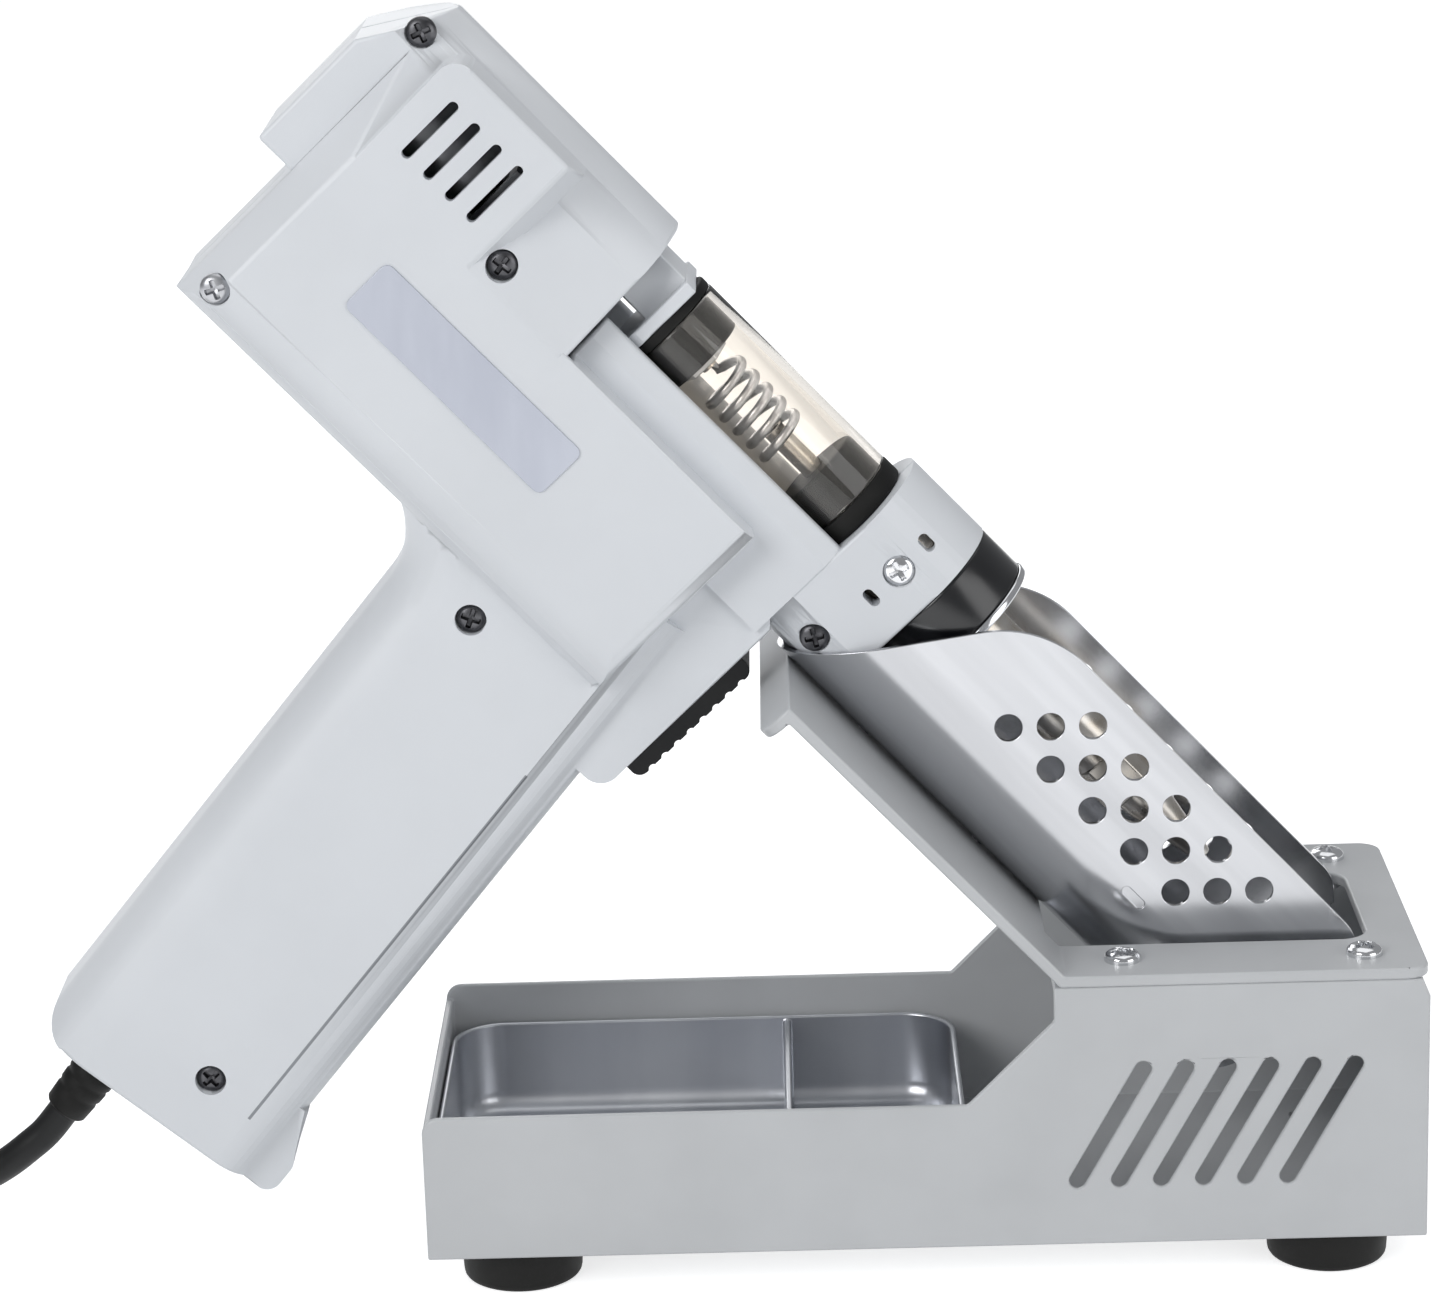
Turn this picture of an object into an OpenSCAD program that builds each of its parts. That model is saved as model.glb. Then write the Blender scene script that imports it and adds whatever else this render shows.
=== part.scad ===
// Desoldering iron with its own pump, resting nose down in a sheet-metal stand.
// X runs along the stand, Y across it, Z up from the table.
// The gun is built on its suction line: x forward along it, z square to it, then tipped into the stand.

/* [Stand] */
// Length of the stand
stand_l = 180; // [170:1:200]
// Width of the stand
stand_w = 70; // [68:1:76]
// Thickness of the bent steel sheet
sheet_t = 1.2; // [0.8:0.1:1.6]
// Height of the low walls beside the tray
low_wall_h = 27.3; // [24:0.5:30]
// Height of the tall box under the plate
box_h = 49.1; // [46:0.5:52]
// Length of the low walls
low_wall_l = 97.8; // [94:0.2:99]
// Radius of a rubber foot
foot_r = 11.3; // [9:0.1:13]
// Height of a rubber foot
foot_h = 8.3; // [7:0.1:12]
// Distance of a foot's centre from the stand's ends
foot_in_x = 16.3; // [14:0.1:18]
// Distance of a foot's centre from the stand's long sides
foot_in_y = 14; // [14:0.5:18]
// Number of slots in each long wall
slot_n = 6; // [3:1:6]
// Width of a slot
slot_w = 3.1; // [2:0.1:4]

/* [Top plate] */
// Thickness of the plate
plate_t = 2.1; // [1.6:0.1:3]
// Distance of the plate's bend from the stand's left end
bend_x = 115.4; // [114:0.2:118]
// Angle of the rest and of the gun below the horizontal
slope_dip = 47; // [44:1:50]
// Length of the sloping rest
rest_l = 67.7; // [64:0.5:72]
// Depth of the lip at the top of the rest
lip_l = 7.3; // [5:0.1:10]
// Head radius of the four plate screws
plate_screw_r = 3.25; // [2.5:0.05:3.6]

/* [Trough] */
// Outside width of the trough
trough_w = 32.7; // [32:0.1:34]
// Thickness of the trough's sheet
trough_t = 1; // [0.6:0.1:1.1]
// Height of the trough's walls above the rest
trough_h = 39.4; // [36:0.2:44]
// Length of the trough's floor beyond the upper end of the rest
mouth_over = 5; // [3:0.1:7]
// Length of the trough below the plate's bend
trough_down = 41; // [36:1:44]
// Angle of the mouth's cut to the trough's floor
mouth_lean = 55.2; // [52:0.2:60]
// Radius where the cut meets the walls' top edge
mouth_round = 21; // [14:1:24]
// Radius of the cooling holes in the walls
vent_hole_r = 2.5; // [1.5:0.1:2.8]

/* [Tray] */
// Length of the solder tray
tray_l = 96.4; // [90:0.2:96.6]
// Height of the solder tray
tray_h = 18.8; // [15:0.2:22]
// Corner radius of the tray
tray_corner_r = 10; // [8:0.5:14]
// Radius between the tray's floor and walls
tray_floor_r = 5; // [3:0.5:7]
// Thickness of the tray's sheet
tray_t = 1; // [0.6:0.1:1.4]
// Distance of the divider from the tray's left end
divider_x = 63.7; // [55:0.5:70]

/* [Suction line] */
// Distance of the heater flange inside the upper end of the rest
heater_in = 17.2; // [16:0.1:18]
// Thickness of the bright heater flange
flange_t = 1.5; // [1:0.1:2]
// Radius of the bright heater flange
flange_r = 14.2; // [13.8:0.1:14.6]
// Length of the black heat ring
ring_l = 9.5; // [8:0.1:11]
// Length of the round nose
nose_l = 18; // [17:0.1:20]
// Radius of the round nose
nose_r = 13.9; // [13.6:0.1:14]
// Depth of the nose below the suction line
nose_drop = 25.9; // [25:0.1:27]
// Outside radius of the glass tube
tube_r = 10.5; // [10:0.1:10.8]
// Thickness of the glass
tube_wall = 1.6; // [1.2:0.1:2]
// Length of the glass tube
tube_l = 44.5; // [42:0.5:48]
// Width of the front seal's ring
front_seal_l = 4; // [3:0.1:5]
// Thickness of the rear seal's flange
rear_seal_l = 2; // [1.5:0.1:3]
// Thickness of the tube retainer's plate
retainer_t = 2.5; // [2:0.1:3.5]
// Travel of the tube retainer
retainer_travel = 6; // [3:0.5:6.5]

/* [Housing] */
// Wall thickness of the housing
wall = 2.2; // [1.8:0.1:2.4]
// Length of the domed motor housing
dome_l = 55.8; // [54:0.2:60]
// Radius of the dome
dome_r = 16; // [15.6:0.1:17]
// Drop of the dome's axis below the suction line
dome_drop = 1.7; // [1.4:0.1:2.2]
// Width of the housing
body_w = 44; // [43:0.5:48]
// Depth of the housing below the suction line
body_drop = 53.8; // [52:0.2:57]
// Radius along the housing's lower edges
body_round = 9; // [6:0.5:10]
// Length of the step behind the dome
tail_l = 8; // [7:0.5:9]
// Width of the step behind the dome
tail_w = 29; // [28:0.5:31]
// Distance of the wide housing's front face behind the flange
box_front = 42.5; // [41.5:0.2:46]
// Width of the rail that cradles the tube
rail_w = 28.4; // [28:0.1:30]
// Number of vent slots on each side
vent_n = 4; // [2:1:4]
// Width of a vent slot
vent_w = 1.9; // [1.2:0.1:2.4]

/* [Grip] */
// Forward tilt of the grip
grip_tilt = 7.25; // [5:0.25:9]
// Depth of the grip from front to back
grip_d = 48.8; // [46:0.2:52]
// Width of the grip
grip_w = 32; // [30:0.5:34]
// Reach of the grip below the suction line, along its tilt
grip_reach = 163; // [156:1:166]
// Distance of the grip's front behind the flange, along its tilt
grip_front = 39.7; // [38.5:0.1:40.5]

/* [Trigger] */
// Height of the trigger
trigger_h = 29.2; // [26:0.2:30]
// Width of the trigger
trigger_w = 13.6; // [11:0.2:15]
// Travel of the trigger
trigger_travel = 3; // [2:0.1:3.2]
// Number of ribs on the trigger
rib_n = 9; // [5:1:11]

/* [Mains lead] */
// Diameter of the mains lead
cord_d = 6; // [5:0.1:6]
// Number of turns in the stored coil
coil_turns = 6; // [4:1:6]

/* [Hidden] */
$fn = 64;

// Overrun of every cut past the face that it opens
over = 1;
// Width of a cut that clears everything on one side
clear_l = 400;
// Gap between faces that lie on each other but move apart
seat_gap = 0.3;
// Radial gap of a shaft that turns or slides in its bore
run_gap = 0.05;

// Stand
half_w = stand_w / 2;
floor_z = foot_h + sheet_t;
plate_top = foot_h + box_h + plate_t;
left_wall_drop = 3;
tall_wall_back = 2.1;
ramp_foot_rise = 15.5;
wall_corner_r = 3;
flange_in = 14;
end_corner = 3.2;
end_corner_in = 1.3;
foot_taper = 0.5;
foot_recess_r = 4.5;
foot_recess_h = 3.6;
foot_screw_r = 1.6;
foot_head_r = 3.4;
foot_head_h = 2.2;
foot_hole_gap = 0.1;
slot_pitch = 7.54;
slot_top_z = 41.6;
slot_foot_z = 20.6;
slot_first_x = 129.1;
slot_lean_x = 11.8;

// Plate
plate_corner_r = 4;
mitre = plate_t * tan(slope_dip / 2);
lip_corner_r = 5;
opening_gap = 2.15;
opening_up = 3.5;
opening_end = 8.9;
opening_corner_r = 5;
opening_half = trough_w / 2 + opening_gap;
plate_screw_in_y = 8.3;
plate_screw_in_x = 10.7;
plate_screw_shank = 1.5;
plate_screw_head_h = 2;
plate_screw_l = 9;
plate_nut_r = 3;
plate_nut_h = 2.2;
plate_screw_x = [bend_x + plate_screw_in_x, stand_l - plate_screw_in_x];

// Trough
trough_lift = 0.1;
trough_axis_q = trough_lift + trough_w / 2;
mouth_up = rest_l + mouth_over;
trough_end_r = 7;
hole_first_p = 35.6;
hole_first_q = 21.5;
hole_row_p = 10.9;
hole_col_p = 5.15;
hole_col_q = 5.52;
hole_rows = 5;
hole_cols = 3;
dimple_p = 3.4;
dimple_q = 15.3;
dimple_l = 3.5;
dimple_w = 1.8;
dimple_depth = 0.4;
rivet_shares = [0.3, 0.74];
rivet_p = rest_l * rivet_shares;
rivet_r = 1.6;
rivet_head_r = 3;
rivet_head_h = 1.1;
rivet_sag = 0.35;

// Tray
tray_gap = 0.4;
tray_x = sheet_t + tray_gap;
tray_side_gap = 1.3;
tray_w = stand_w - 2 * sheet_t - 2 * tray_side_gap;
divider_drop = 0.8;
divider_t = 1.2;

// Distance of the heater flange above the plate's bend
gun_up = rest_l - heater_in;
// Places along the suction line, counted backwards from the flange's front face
ring_a = flange_t;
nose_a = ring_a + ring_l;
cradle_a = nose_a + nose_l;
tube_a = cradle_a + front_seal_l;
tube_end = tube_a + tube_l;
seal_end = tube_end + rear_seal_l;
retainer_a = seal_end + retainer_t;
stop_gap = 0.7;
dome_a = retainer_a + retainer_travel + stop_gap;
back_a = dome_a + dome_l;
tail_a = back_a + tail_l;

// Housing
half_body = body_w / 2;
half_tail = tail_w / 2;
dome_top = dome_r - dome_drop;
flank_foot = 14.3;
box_drop = 12.9;
box_corner_r = 3;
rear_flat = 15;
rear_chamfer = 5.4;
tail_low = 24.8;
tail_top_drop = 0.7;
slope_run = 9.3;
slope_angle = atan2(dome_top + tail_top_drop, slope_run);
pod_l = 27.3;
pod_top = 11;
pod_low = 16;
pod_step = 3.3;
pod_corner_r = 4;
pod_flank_in = 4.5;
pod_a = back_a - rear_chamfer;
rail_drop = 8.6;
rim_drop = 4.7;
rim_in = 1.3;
cradle_gap = 0.85;
cradle_r = tube_r + cradle_gap;
seat_r = trough_w / 2 - trough_t - seat_gap;
gun_q = trough_lift + trough_t + seat_gap + nose_drop;
seat_drop = gun_q - trough_axis_q;
socket_gap = 0.3;
socket_r = nose_r - wall - socket_gap;
vent_pitch = 5.17;
vent_first = 6.1;
vent_top = 4.2;
vent_low = 7.05;
nose_slot_b = 6.85;
nose_slot_l = 3.6;
nose_slot_w = 2;
nose_screw_in = 8;
nose_screw_a = nose_a + nose_screw_in;
nose_screw_head_r = 2.8;
nose_screw_head_h = 1.4;
nose_screw_r = 1.2;
window_gap = 0.2;

// Trigger housing and trigger
guard_a = 27;
guard_h = 13.2;
guard_w = 26;
guard_round = 4;
trigger_top = 32.6;
trigger_out = 4.5;
trigger_gap = 0.4;
trigger_lip = 1.4;
trigger_lip_t = 2;
trigger_corner_r = 2;
rib_r = 1;
stem_r = 1.6;
stem_l = 4.5;
stem_b = trigger_top + trigger_h / 2;
plunger_r = 1.2;
plunger_out = trigger_travel + seat_gap;
switch_l = 12.5;
switch_h = 20;
switch_w = 6.4;
switch_pin_r = 1.4;
switch_pin_boss = 3;
trigger_in = guard_a + wall + seat_gap;
stem_a = trigger_in + trigger_lip_t + stem_l;
switch_a = stem_a + plunger_out;

// Grip
half_grip = grip_w / 2;
grip_back = grip_front + grip_d;
grip_back_r = 11;
grip_front_r = 8.4;
grip_top = 30;
heel_r = 5.5;
toe_out = 4.2;
toe_h = 3.4;
toe_rise = 11;
toe_r = 3;
back_fillet_r = 16;
// Centre of the fillet behind the grip, in the grip's frame
fillet_s = -grip_back - back_fillet_r;
fillet_t = (-body_drop - back_fillet_r - fillet_s * sin(grip_tilt)) / cos(grip_tilt);
sleeve_s = 74;
sleeve_r = 4.65;
sleeve_tip_r = 4.1;
sleeve_out = 14.6;
sleeve_in = 8;
sleeve_collar_r = 6;
sleeve_collar_t = 2;
sleeve_gap = 0.15;

// Case screws: distance behind the flange, depth below the suction line, half width at the head
boss_r = 3.5;
case_screw_r = 1.3;
case_head_r = 2.7;
case_head_h = 1.8;
case_recess = 0.6;
case_recess_gap = 0.15;
case_screw_l = 14;
tail_screw_in = 7.2;
tail_screw_up = 8.1;
rear_screw_in = 4.8;
rear_screw_up = 5.8;
side_screw_a = 107.7;
side_screw_drop = 9.8;
grip_screw_s = 15;
grip_screw_t = 51.1;
toe_screw_s = 18.4;
toe_screw_up = 12.8;
nose_boss_in = 9.5;
nose_boss_drop = 19.5;

// Label
label_back = 22.2;
label_l = 47.5;
label_h = 10.9;
label_low = 33.8;
label_t = 0.4;
label_r = 1.5;

// Heater
heat_ring_r = 13.8;
heat_ring_bore_gap = 0.2;
barrel_r = 6;
barrel_l = 34;
barrel_wall = 0.7;
flange_bore_gap = 0.1;
socket_back = 24.5;
socket_floor = 2.5;
core_gap = 0.1;
core_in = 2;
pipe_r = 2;
pipe_bore = 1.4;
pipe_into_tube = 10;
nut_l = 9;
nut_r = 6.6;
nozzle_l = 19;
nozzle_base_r = 4.5;
nozzle_tip_r = 1.6;
nozzle_collar_l = 3;
nozzle_bore = 0.6;

// Seals, baffle and retainer
front_plug_l = 8;
rear_plug_l = 8.5;
plug_gap = 0.05;
seal_over = 0.1;
hex_r = 5.2;
hex_t = 1.5;
air_r = 1.5;
air_bore = 1;
air_past_nut = 1;
air_back = 3.8;
coil_wire_r = 0.9;
baffle_r = 4.7;
baffle_pitch = 3.3;
baffle_loops = 5;
retainer_half = 10;
retainer_top = 9.4;
shank_half = 7;
shank_low = 3;
shank_high = 9.2;
shank_l = 22;
guide_r = 1;
spring_b = 7.2;
spring_r = 1.2;
spring_wire_r = 0.25;
spring_loops = 7;
trigger_spring_loops = 3;
spring_rings = 8;
baffle_rings = 12;
wire_sides = 6;
winding_up = [1, 0.2, 0.1];

// Motor and pump
motor_drop = 5.5;
motor_r = 11;
motor_l = 21;
motor_front = 120.5;
motor_neck_r = 3;
motor_cap_r = 7.5;
motor_cap_l = 5;
shaft_r = 1;
shaft_out = 9;
frame_t = 1.5;
frame_top = 9.2;
frame_tab_half = 5;
frame_shoulder = 3;
frame_floor_gap = 0.5;
frame_floor = motor_drop + motor_r + frame_floor_gap;
eccentric_r = 4;
eccentric_e = 1;
eccentric_t = 3.2;
eccentric_gap = 2.4;
pump_stroke = 2;
yoke_gap = 0.2;
yoke_bar = 2.1;
yoke_t = 2.8;
rod_r = yoke_t / 2;
pump_a = motor_front - frame_t - eccentric_gap - eccentric_t / 2;
// Drop of the eccentric's centre at the bottom of the stroke
pump_low = motor_drop + eccentric_e;
pump_w = 20;
pump_h = 17.5;
pump_gap = 2;
chamber_r = 8;
chamber_h = 5;
membrane_r = 7.5;
membrane_t = 1;
membrane_drop = frame_floor + frame_t + pump_gap + pump_stroke - membrane_t / 2;
head_t = 3;
pump_screw_r = 1;
pump_screw_in = 2.4;
pump_screw_head_r = 1.8;
pump_screw_head_h = 1.2;
nipple_r = 1.5;
nipple_a = 100.5;
nipple_drop = 20;
nipple_l = 6;
lug_half = 3.5;
lug_t = 3;
hose_r = 2.6;
hose_bore = 1.55;
hose_bend_r = 6.5;
hose_lap = 1.3;

// Board and leads
board_a = 98;
board_l = 44;
board_top = 27;
board_h = 22;
board_y = 12;
board_t = 1.6;
post_r = 2.5;
post_in = 4;
tall_shares = [0.42, 0.3, 0.22, 0.34];
place_shares = [0.12, 0.34, 0.56, 0.8];
can_drop_share = 0.3;
can_r_share = 0.14;
chip_l_share = 0.15;
chip_t_share = 0.2;
chip_low_share = 0.9;
chip_high_share = 0.55;
lead_r = 0.9;
lead_y = 2.6;
lead_high = -nose_r + wall * 2;
lead_low = -nose_r - lead_r * 2;
clamp_t = 134;
clamp_h = 8;
clamp_l = 20;
clamp_plate = 2;
clamp_screw_r = 1.2;
clamp_screw_in = 3;
clamp_post_r = 2.9;
lead_turn_share = 0.7;
lead_sides = 8;

// Where the stand's left end lies, so that stand and gun together are centred on X = 0
heel_s = -(grip_back - heel_r);
heel_t = -(grip_reach - heel_r);
heel_a = heel_s * cos(grip_tilt) - heel_t * sin(grip_tilt);
heel_b = heel_s * sin(grip_tilt) + heel_t * cos(grip_tilt);
heel_x = bend_x + (heel_a - gun_up) * cos(slope_dip) + (heel_b + gun_q) * sin(slope_dip);
stand_x = -(stand_l + heel_x - heel_r) / 2;

// Mains lead. The points of the free run and of the tail are chosen by hand
cord_r = cord_d / 2;
cord_sides = 10;
cord_z = 3.1;
run_points = [[-132.5, 0, 18.1], [-136, 0.5, 15.3], [-139.7, 1.3, 12.8], [-143.8, 2.7, 10.5],
    [-148.2, 4.7, 8.4], [-153, 7.2, 6.6], [-158, 10.2, 5.1], [-164.8, 14.9, 3.7], [-171.5, 19.5, 3.2],
    [-176.7, 22.65, 3.1], [-181.7, 24.9, 3.1], [-186.5, 26.3, 3.1], [-191.5, 27, 3.1]];
coil_x = -202;
coil_y = -17;
coil_r = 44;
coil_pitch = 6.5;
coil_rise = 6.5;
coil_steps = 24;
coil_sides = 6;
tail_points = [[-211, 27, 9.6], [-215, 27, 9.3], [-218.5, 27, 8.7], [-222, 27, 8], [-225.5, 27, 7.37],
    [-229, 27, 7.02], [-230, 27, 7]];
plug_x = -233;
plug_l = 28;
plug_wide = 22;
plug_thick = 14;
plug_neck_l = 9;
plug_neck_r = 4;
plug_round = 5;
blade_l = 16;
blade_w = 6.4;
blade_t = 1.5;
blade_gap = 12.7;
tie_w = 5;
tie_t = 0.8;
tie_gap = 0.5;

// Points along an arc
function arc(cx, cy, r, from, to, n) =
    [for (i = [0:n]) let (t = from + (to - from) * i / n) [cx + r * cos(t), cy + r * sin(t)]];
function unit(v) = v / norm(v);
// A wire that winds about the x axis, at so many rings a loop
function winding(x0, pitch, r, loops, rings) =
    [for (i = [0:loops * rings]) [x0 + pitch * i / rings, r * cos(360 * i / rings), r * sin(360 * i / rings)]];
// One ring of a tube: the path's direction at point i, and a circle square to it
function heading(path, i) = unit(path[min(i + 1, len(path) - 1)] - path[max(i - 1, 0)]);
function ring(path, i, r, n, up) =
    let (t = heading(path, i), side = unit(cross(t, up)), top = cross(side, t))
    [for (j = [0:n - 1]) path[i] + r * cos(360 * j / n) * side + r * sin(360 * j / n) * top];

// A solid tube swept along a path, closed at both ends
module tube_along(path, r, n, up) {
    m = len(path);
    points = [for (i = [0:m - 1]) each ring(path, i, r, n, up)];
    near = [for (i = [0:m - 2]) for (j = [0:n - 1]) [i * n + j, i * n + (j + 1) % n, (i + 1) * n + j]];
    far = [for (i = [0:m - 2]) for (j = [0:n - 1])
        [i * n + (j + 1) % n, (i + 1) * n + (j + 1) % n, (i + 1) * n + j]];
    first = [for (j = [1:n - 2]) [0, j + 1, j]];
    last = [for (j = [1:n - 2]) let (o = (m - 1) * n) [o, o + j, o + j + 1]];
    polyhedron(points = points, faces = concat(near, far, first, last));
}

// The four frames, each carried by the one before
module on_stand() { translate([stand_x, 0, 0]) children(); }
module on_slope() { on_stand() translate([bend_x, 0, plate_top]) rotate([0, slope_dip, 0]) children(); }
module on_gun() { on_slope() translate([-gun_up, 0, gun_q]) children(); }
module on_grip() { on_gun() rotate([0, -grip_tilt, 0]) children(); }

// Extrusions of a side outline across the width, and of a cross-section along the suction line
module across(from, to) { translate([0, to, 0]) rotate([90, 0, 0]) linear_extrude(to - from) children(); }
module along(from, to) { translate([from, 0, 0]) rotate([90, 0, 90]) linear_extrude(to - from) children(); }
module rod_x(from, to, r) { translate([from, 0, 0]) rotate([0, 90, 0]) cylinder(r = r, h = to - from); }
module rod_y(x, z, from, to, r) { translate([x, to, z]) rotate([90, 0, 0]) cylinder(r = r, h = to - from); }
module rod_z(x, y, from, to, r) { translate([x, y, from]) cylinder(r = r, h = to - from); }
module block(x0, x1, y0, y1, z0, z1) { translate([x0, y0, z0]) cube([x1 - x0, y1 - y0, z1 - z0]); }
module rect(x0, x1, y0, y1) { translate([x0, y0]) square([x1 - x0, y1 - y0]); }
module round_rect(x0, x1, y0, y1, r) {
    rect(x0 + r, x1 - r, y0, y1);
    rect(x0, x1, y0 + r, y1 - r);
    for (x = [x0 + r, x1 - r]) for (y = [y0 + r, y1 - r]) translate([x, y]) circle(r);
}
module slot_2d(x0, y0, x1, y1, w) {
    l = norm([x1 - x0, y1 - y0]);
    translate([x0, y0]) rotate(atan2(y1 - y0, x1 - x0)) {
        rect(0, l, -w / 2, w / 2);
        circle(w / 2);
        translate([l, 0]) circle(w / 2);
    }
}
// Screw with a domed, cross-cut head on the z axis: head upwards, its seat at z = 0
module cross_screw(head_r, head_h, shank_r, l) {
    dome = (head_r * head_r + head_h * head_h) / head_h / 2;
    cut = head_r / 4;
    difference() {
        intersection() {
            cylinder(r = head_r, h = head_h);
            translate([0, 0, head_h - dome]) sphere(r = dome);
        }
        for (turn = [0, 90]) rotate(turn)
            block(-head_r / 2, head_r / 2, -cut / 2, cut / 2, head_h / 3, head_h + over);
    }
    rod_z(0, 0, -l, 0, shank_r);
}
module mirror_y() { children(); mirror([0, 1, 0]) children(); }

// Stand
module wall_outline() {
    tall_x = bend_x - tall_wall_back;
    top = foot_h + box_h;
    low = foot_h + low_wall_h;
    difference() {
        polygon([[0, foot_h], [stand_l, foot_h], [stand_l, top - end_corner], [stand_l - end_corner_in, top],
            [tall_x, top], [tall_x, low + ramp_foot_rise], [low_wall_l, low], [0, low]]);
        difference() {
            rect(-over, wall_corner_r, low - wall_corner_r, low + over);
            translate([wall_corner_r, low - wall_corner_r]) circle(wall_corner_r);
        }
    }
}
module foot_places() {
    for (x = [foot_in_x, stand_l - foot_in_x]) for (y = [-1, 1])
        translate([x, y * (half_w - foot_in_y), 0]) children();
}
module plate_screw_places() {
    for (x = plate_screw_x) for (y = [-1, 1])
        translate([x, y * (half_w - plate_screw_in_y), plate_top]) children();
}
module base_box() color("gainsboro") on_stand() {
    tall_x = bend_x - tall_wall_back;
    top = foot_h + box_h;
    difference() {
        union() {
            mirror_y() across(half_w - sheet_t, half_w) wall_outline();
            block(0, stand_l, -half_w, half_w, foot_h, floor_z);
            block(0, sheet_t, -half_w, half_w, foot_h, foot_h + low_wall_h - left_wall_drop);
            block(stand_l - sheet_t, stand_l, -half_w, half_w, foot_h, top - end_corner);
            mirror_y() block(tall_x, stand_l - end_corner_in, half_w - flange_in, half_w, top - sheet_t, top);
        }
        for (k = [0:slot_n - 1]) across(-half_w - over, half_w + over)
            slot_2d(slot_first_x + k * slot_pitch, slot_top_z,
                slot_first_x - slot_lean_x + k * slot_pitch, slot_foot_z, slot_w);
        foot_places() rod_z(0, 0, foot_h - over, floor_z + over, foot_screw_r + foot_hole_gap);
        plate_screw_places() rod_z(0, 0, -plate_t - sheet_t - over, 0, plate_screw_shank + foot_hole_gap);
    }
}
module feet() color("dimgray") on_stand() foot_places() difference() {
    rotate_extrude() polygon([[0, 0], [foot_r - foot_taper, 0], [foot_r, foot_h], [0, foot_h]]);
    rod_z(0, 0, -over, foot_recess_h, foot_recess_r);
    rod_z(0, 0, 0, foot_h + over, foot_screw_r + foot_hole_gap);
}
module foot_screws() color("silver") on_stand() foot_places() translate([0, 0, foot_recess_h])
    mirror([0, 0, 1]) cross_screw(foot_head_r, foot_head_h, foot_screw_r, floor_z - foot_recess_h);
// A point of the rest, p along the slope and q square to it, in the stand's side view
function rest_point(p, q) = [bend_x + p * cos(slope_dip) + q * sin(slope_dip),
    plate_top - p * sin(slope_dip) + q * cos(slope_dip)];
module top_plate() color("gainsboro") {
    end = stand_l - opening_end;
    lip = -rest_l - plate_t;
    difference() {
        on_stand() difference() {
            across(-half_w, half_w) polygon([rest_point(lip, 0), rest_point(0, 0), [stand_l, plate_top],
                [stand_l, plate_top - plate_t], [bend_x - mitre, plate_top - plate_t], rest_point(-rest_l, -plate_t),
                rest_point(-rest_l, -lip_l), rest_point(lip, -lip_l)]);
            translate([0, 0, foot_h]) linear_extrude(clear_l) {
                rect(bend_x, end - opening_corner_r, -opening_half, opening_half);
                rect(bend_x, end, -opening_half + opening_corner_r, opening_half - opening_corner_r);
                for (y = [-1, 1]) translate([end - opening_corner_r, y * (opening_half - opening_corner_r)])
                    circle(opening_corner_r);
                mirror_y() difference() {
                    rect(stand_l - plate_corner_r, stand_l + over, half_w - plate_corner_r, half_w + over);
                    translate([stand_l - plate_corner_r, half_w - plate_corner_r]) circle(plate_corner_r);
                }
                for (x = plate_screw_x) for (y = [-1, 1]) translate([x, y * (half_w - plate_screw_in_y)])
                    circle(plate_screw_shank + foot_hole_gap);
            }
        }
        on_slope() {
            block(-opening_up, plate_t, -opening_half, opening_half, -plate_t * 2, plate_t * 2);
            for (p = rivet_p) rod_z(-p, 0, -plate_t - over, over, rivet_r + run_gap);
            mirror_y() along(lip - over, -rest_l + over) difference() {
                rect(half_w - lip_corner_r, half_w + over, -lip_l - over, -lip_l + lip_corner_r);
                translate([half_w - lip_corner_r, -lip_l + lip_corner_r]) circle(lip_corner_r);
            }
        }
    }
}
module plate_screws() color("silver") on_stand() plate_screw_places()
    cross_screw(plate_screw_r, plate_screw_head_h, plate_screw_shank, plate_screw_l);
module plate_nuts() color("silver") on_stand() plate_screw_places()
    translate([0, 0, -plate_t - sheet_t - plate_nut_h]) difference() {
        cylinder(r = plate_nut_r, h = plate_nut_h, $fn = 6);
        rod_z(0, 0, -over, plate_nut_h + over, plate_screw_shank + run_gap);
    }

// Trough
module u_section(half, low) {
    translate([0, trough_axis_q]) circle(half);
    rect(-half, half, trough_axis_q, trough_h + low);
}
module trough_side() {
    run = trough_h / tan(mouth_lean);
    turn = mouth_round * tan(mouth_lean / 2);
    difference() {
        polygon(concat([[-mouth_up, 0]],
            arc(-mouth_up + run + turn, trough_h - mouth_round, mouth_round, 90 + mouth_lean, 90, 12),
            [[trough_down, trough_h], [trough_down, 0]]));
        difference() {
            rect(trough_down - trough_end_r, trough_down + over, trough_h - trough_end_r, trough_h + over);
            translate([trough_down - trough_end_r, trough_h - trough_end_r]) circle(trough_end_r);
        }
    }
}
module trough() color("silver") on_slope() difference() {
    intersection() {
        along(-mouth_up - over, trough_down + over) difference() {
            u_section(trough_w / 2, 0);
            u_section(trough_w / 2 - trough_t, over);
        }
        across(-trough_w, trough_w) trough_side();
    }
    for (i = [0:hole_rows - 1]) for (j = [0:hole_cols - 1])
        rod_y(-hole_first_p + i * hole_row_p + j * hole_col_p, hole_first_q + j * hole_col_q,
            -trough_w, trough_w, vent_hole_r);
    mirror_y() across(trough_w / 2 - dimple_depth, trough_w)
        slot_2d(dimple_p - dimple_l / 2, dimple_q + trough_lift, dimple_p + dimple_l / 2,
            dimple_q + trough_lift, dimple_w);
    for (p = rivet_p) rod_z(-p, 0, -over, trough_t + rivet_sag + over, rivet_r + run_gap);
}
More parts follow.
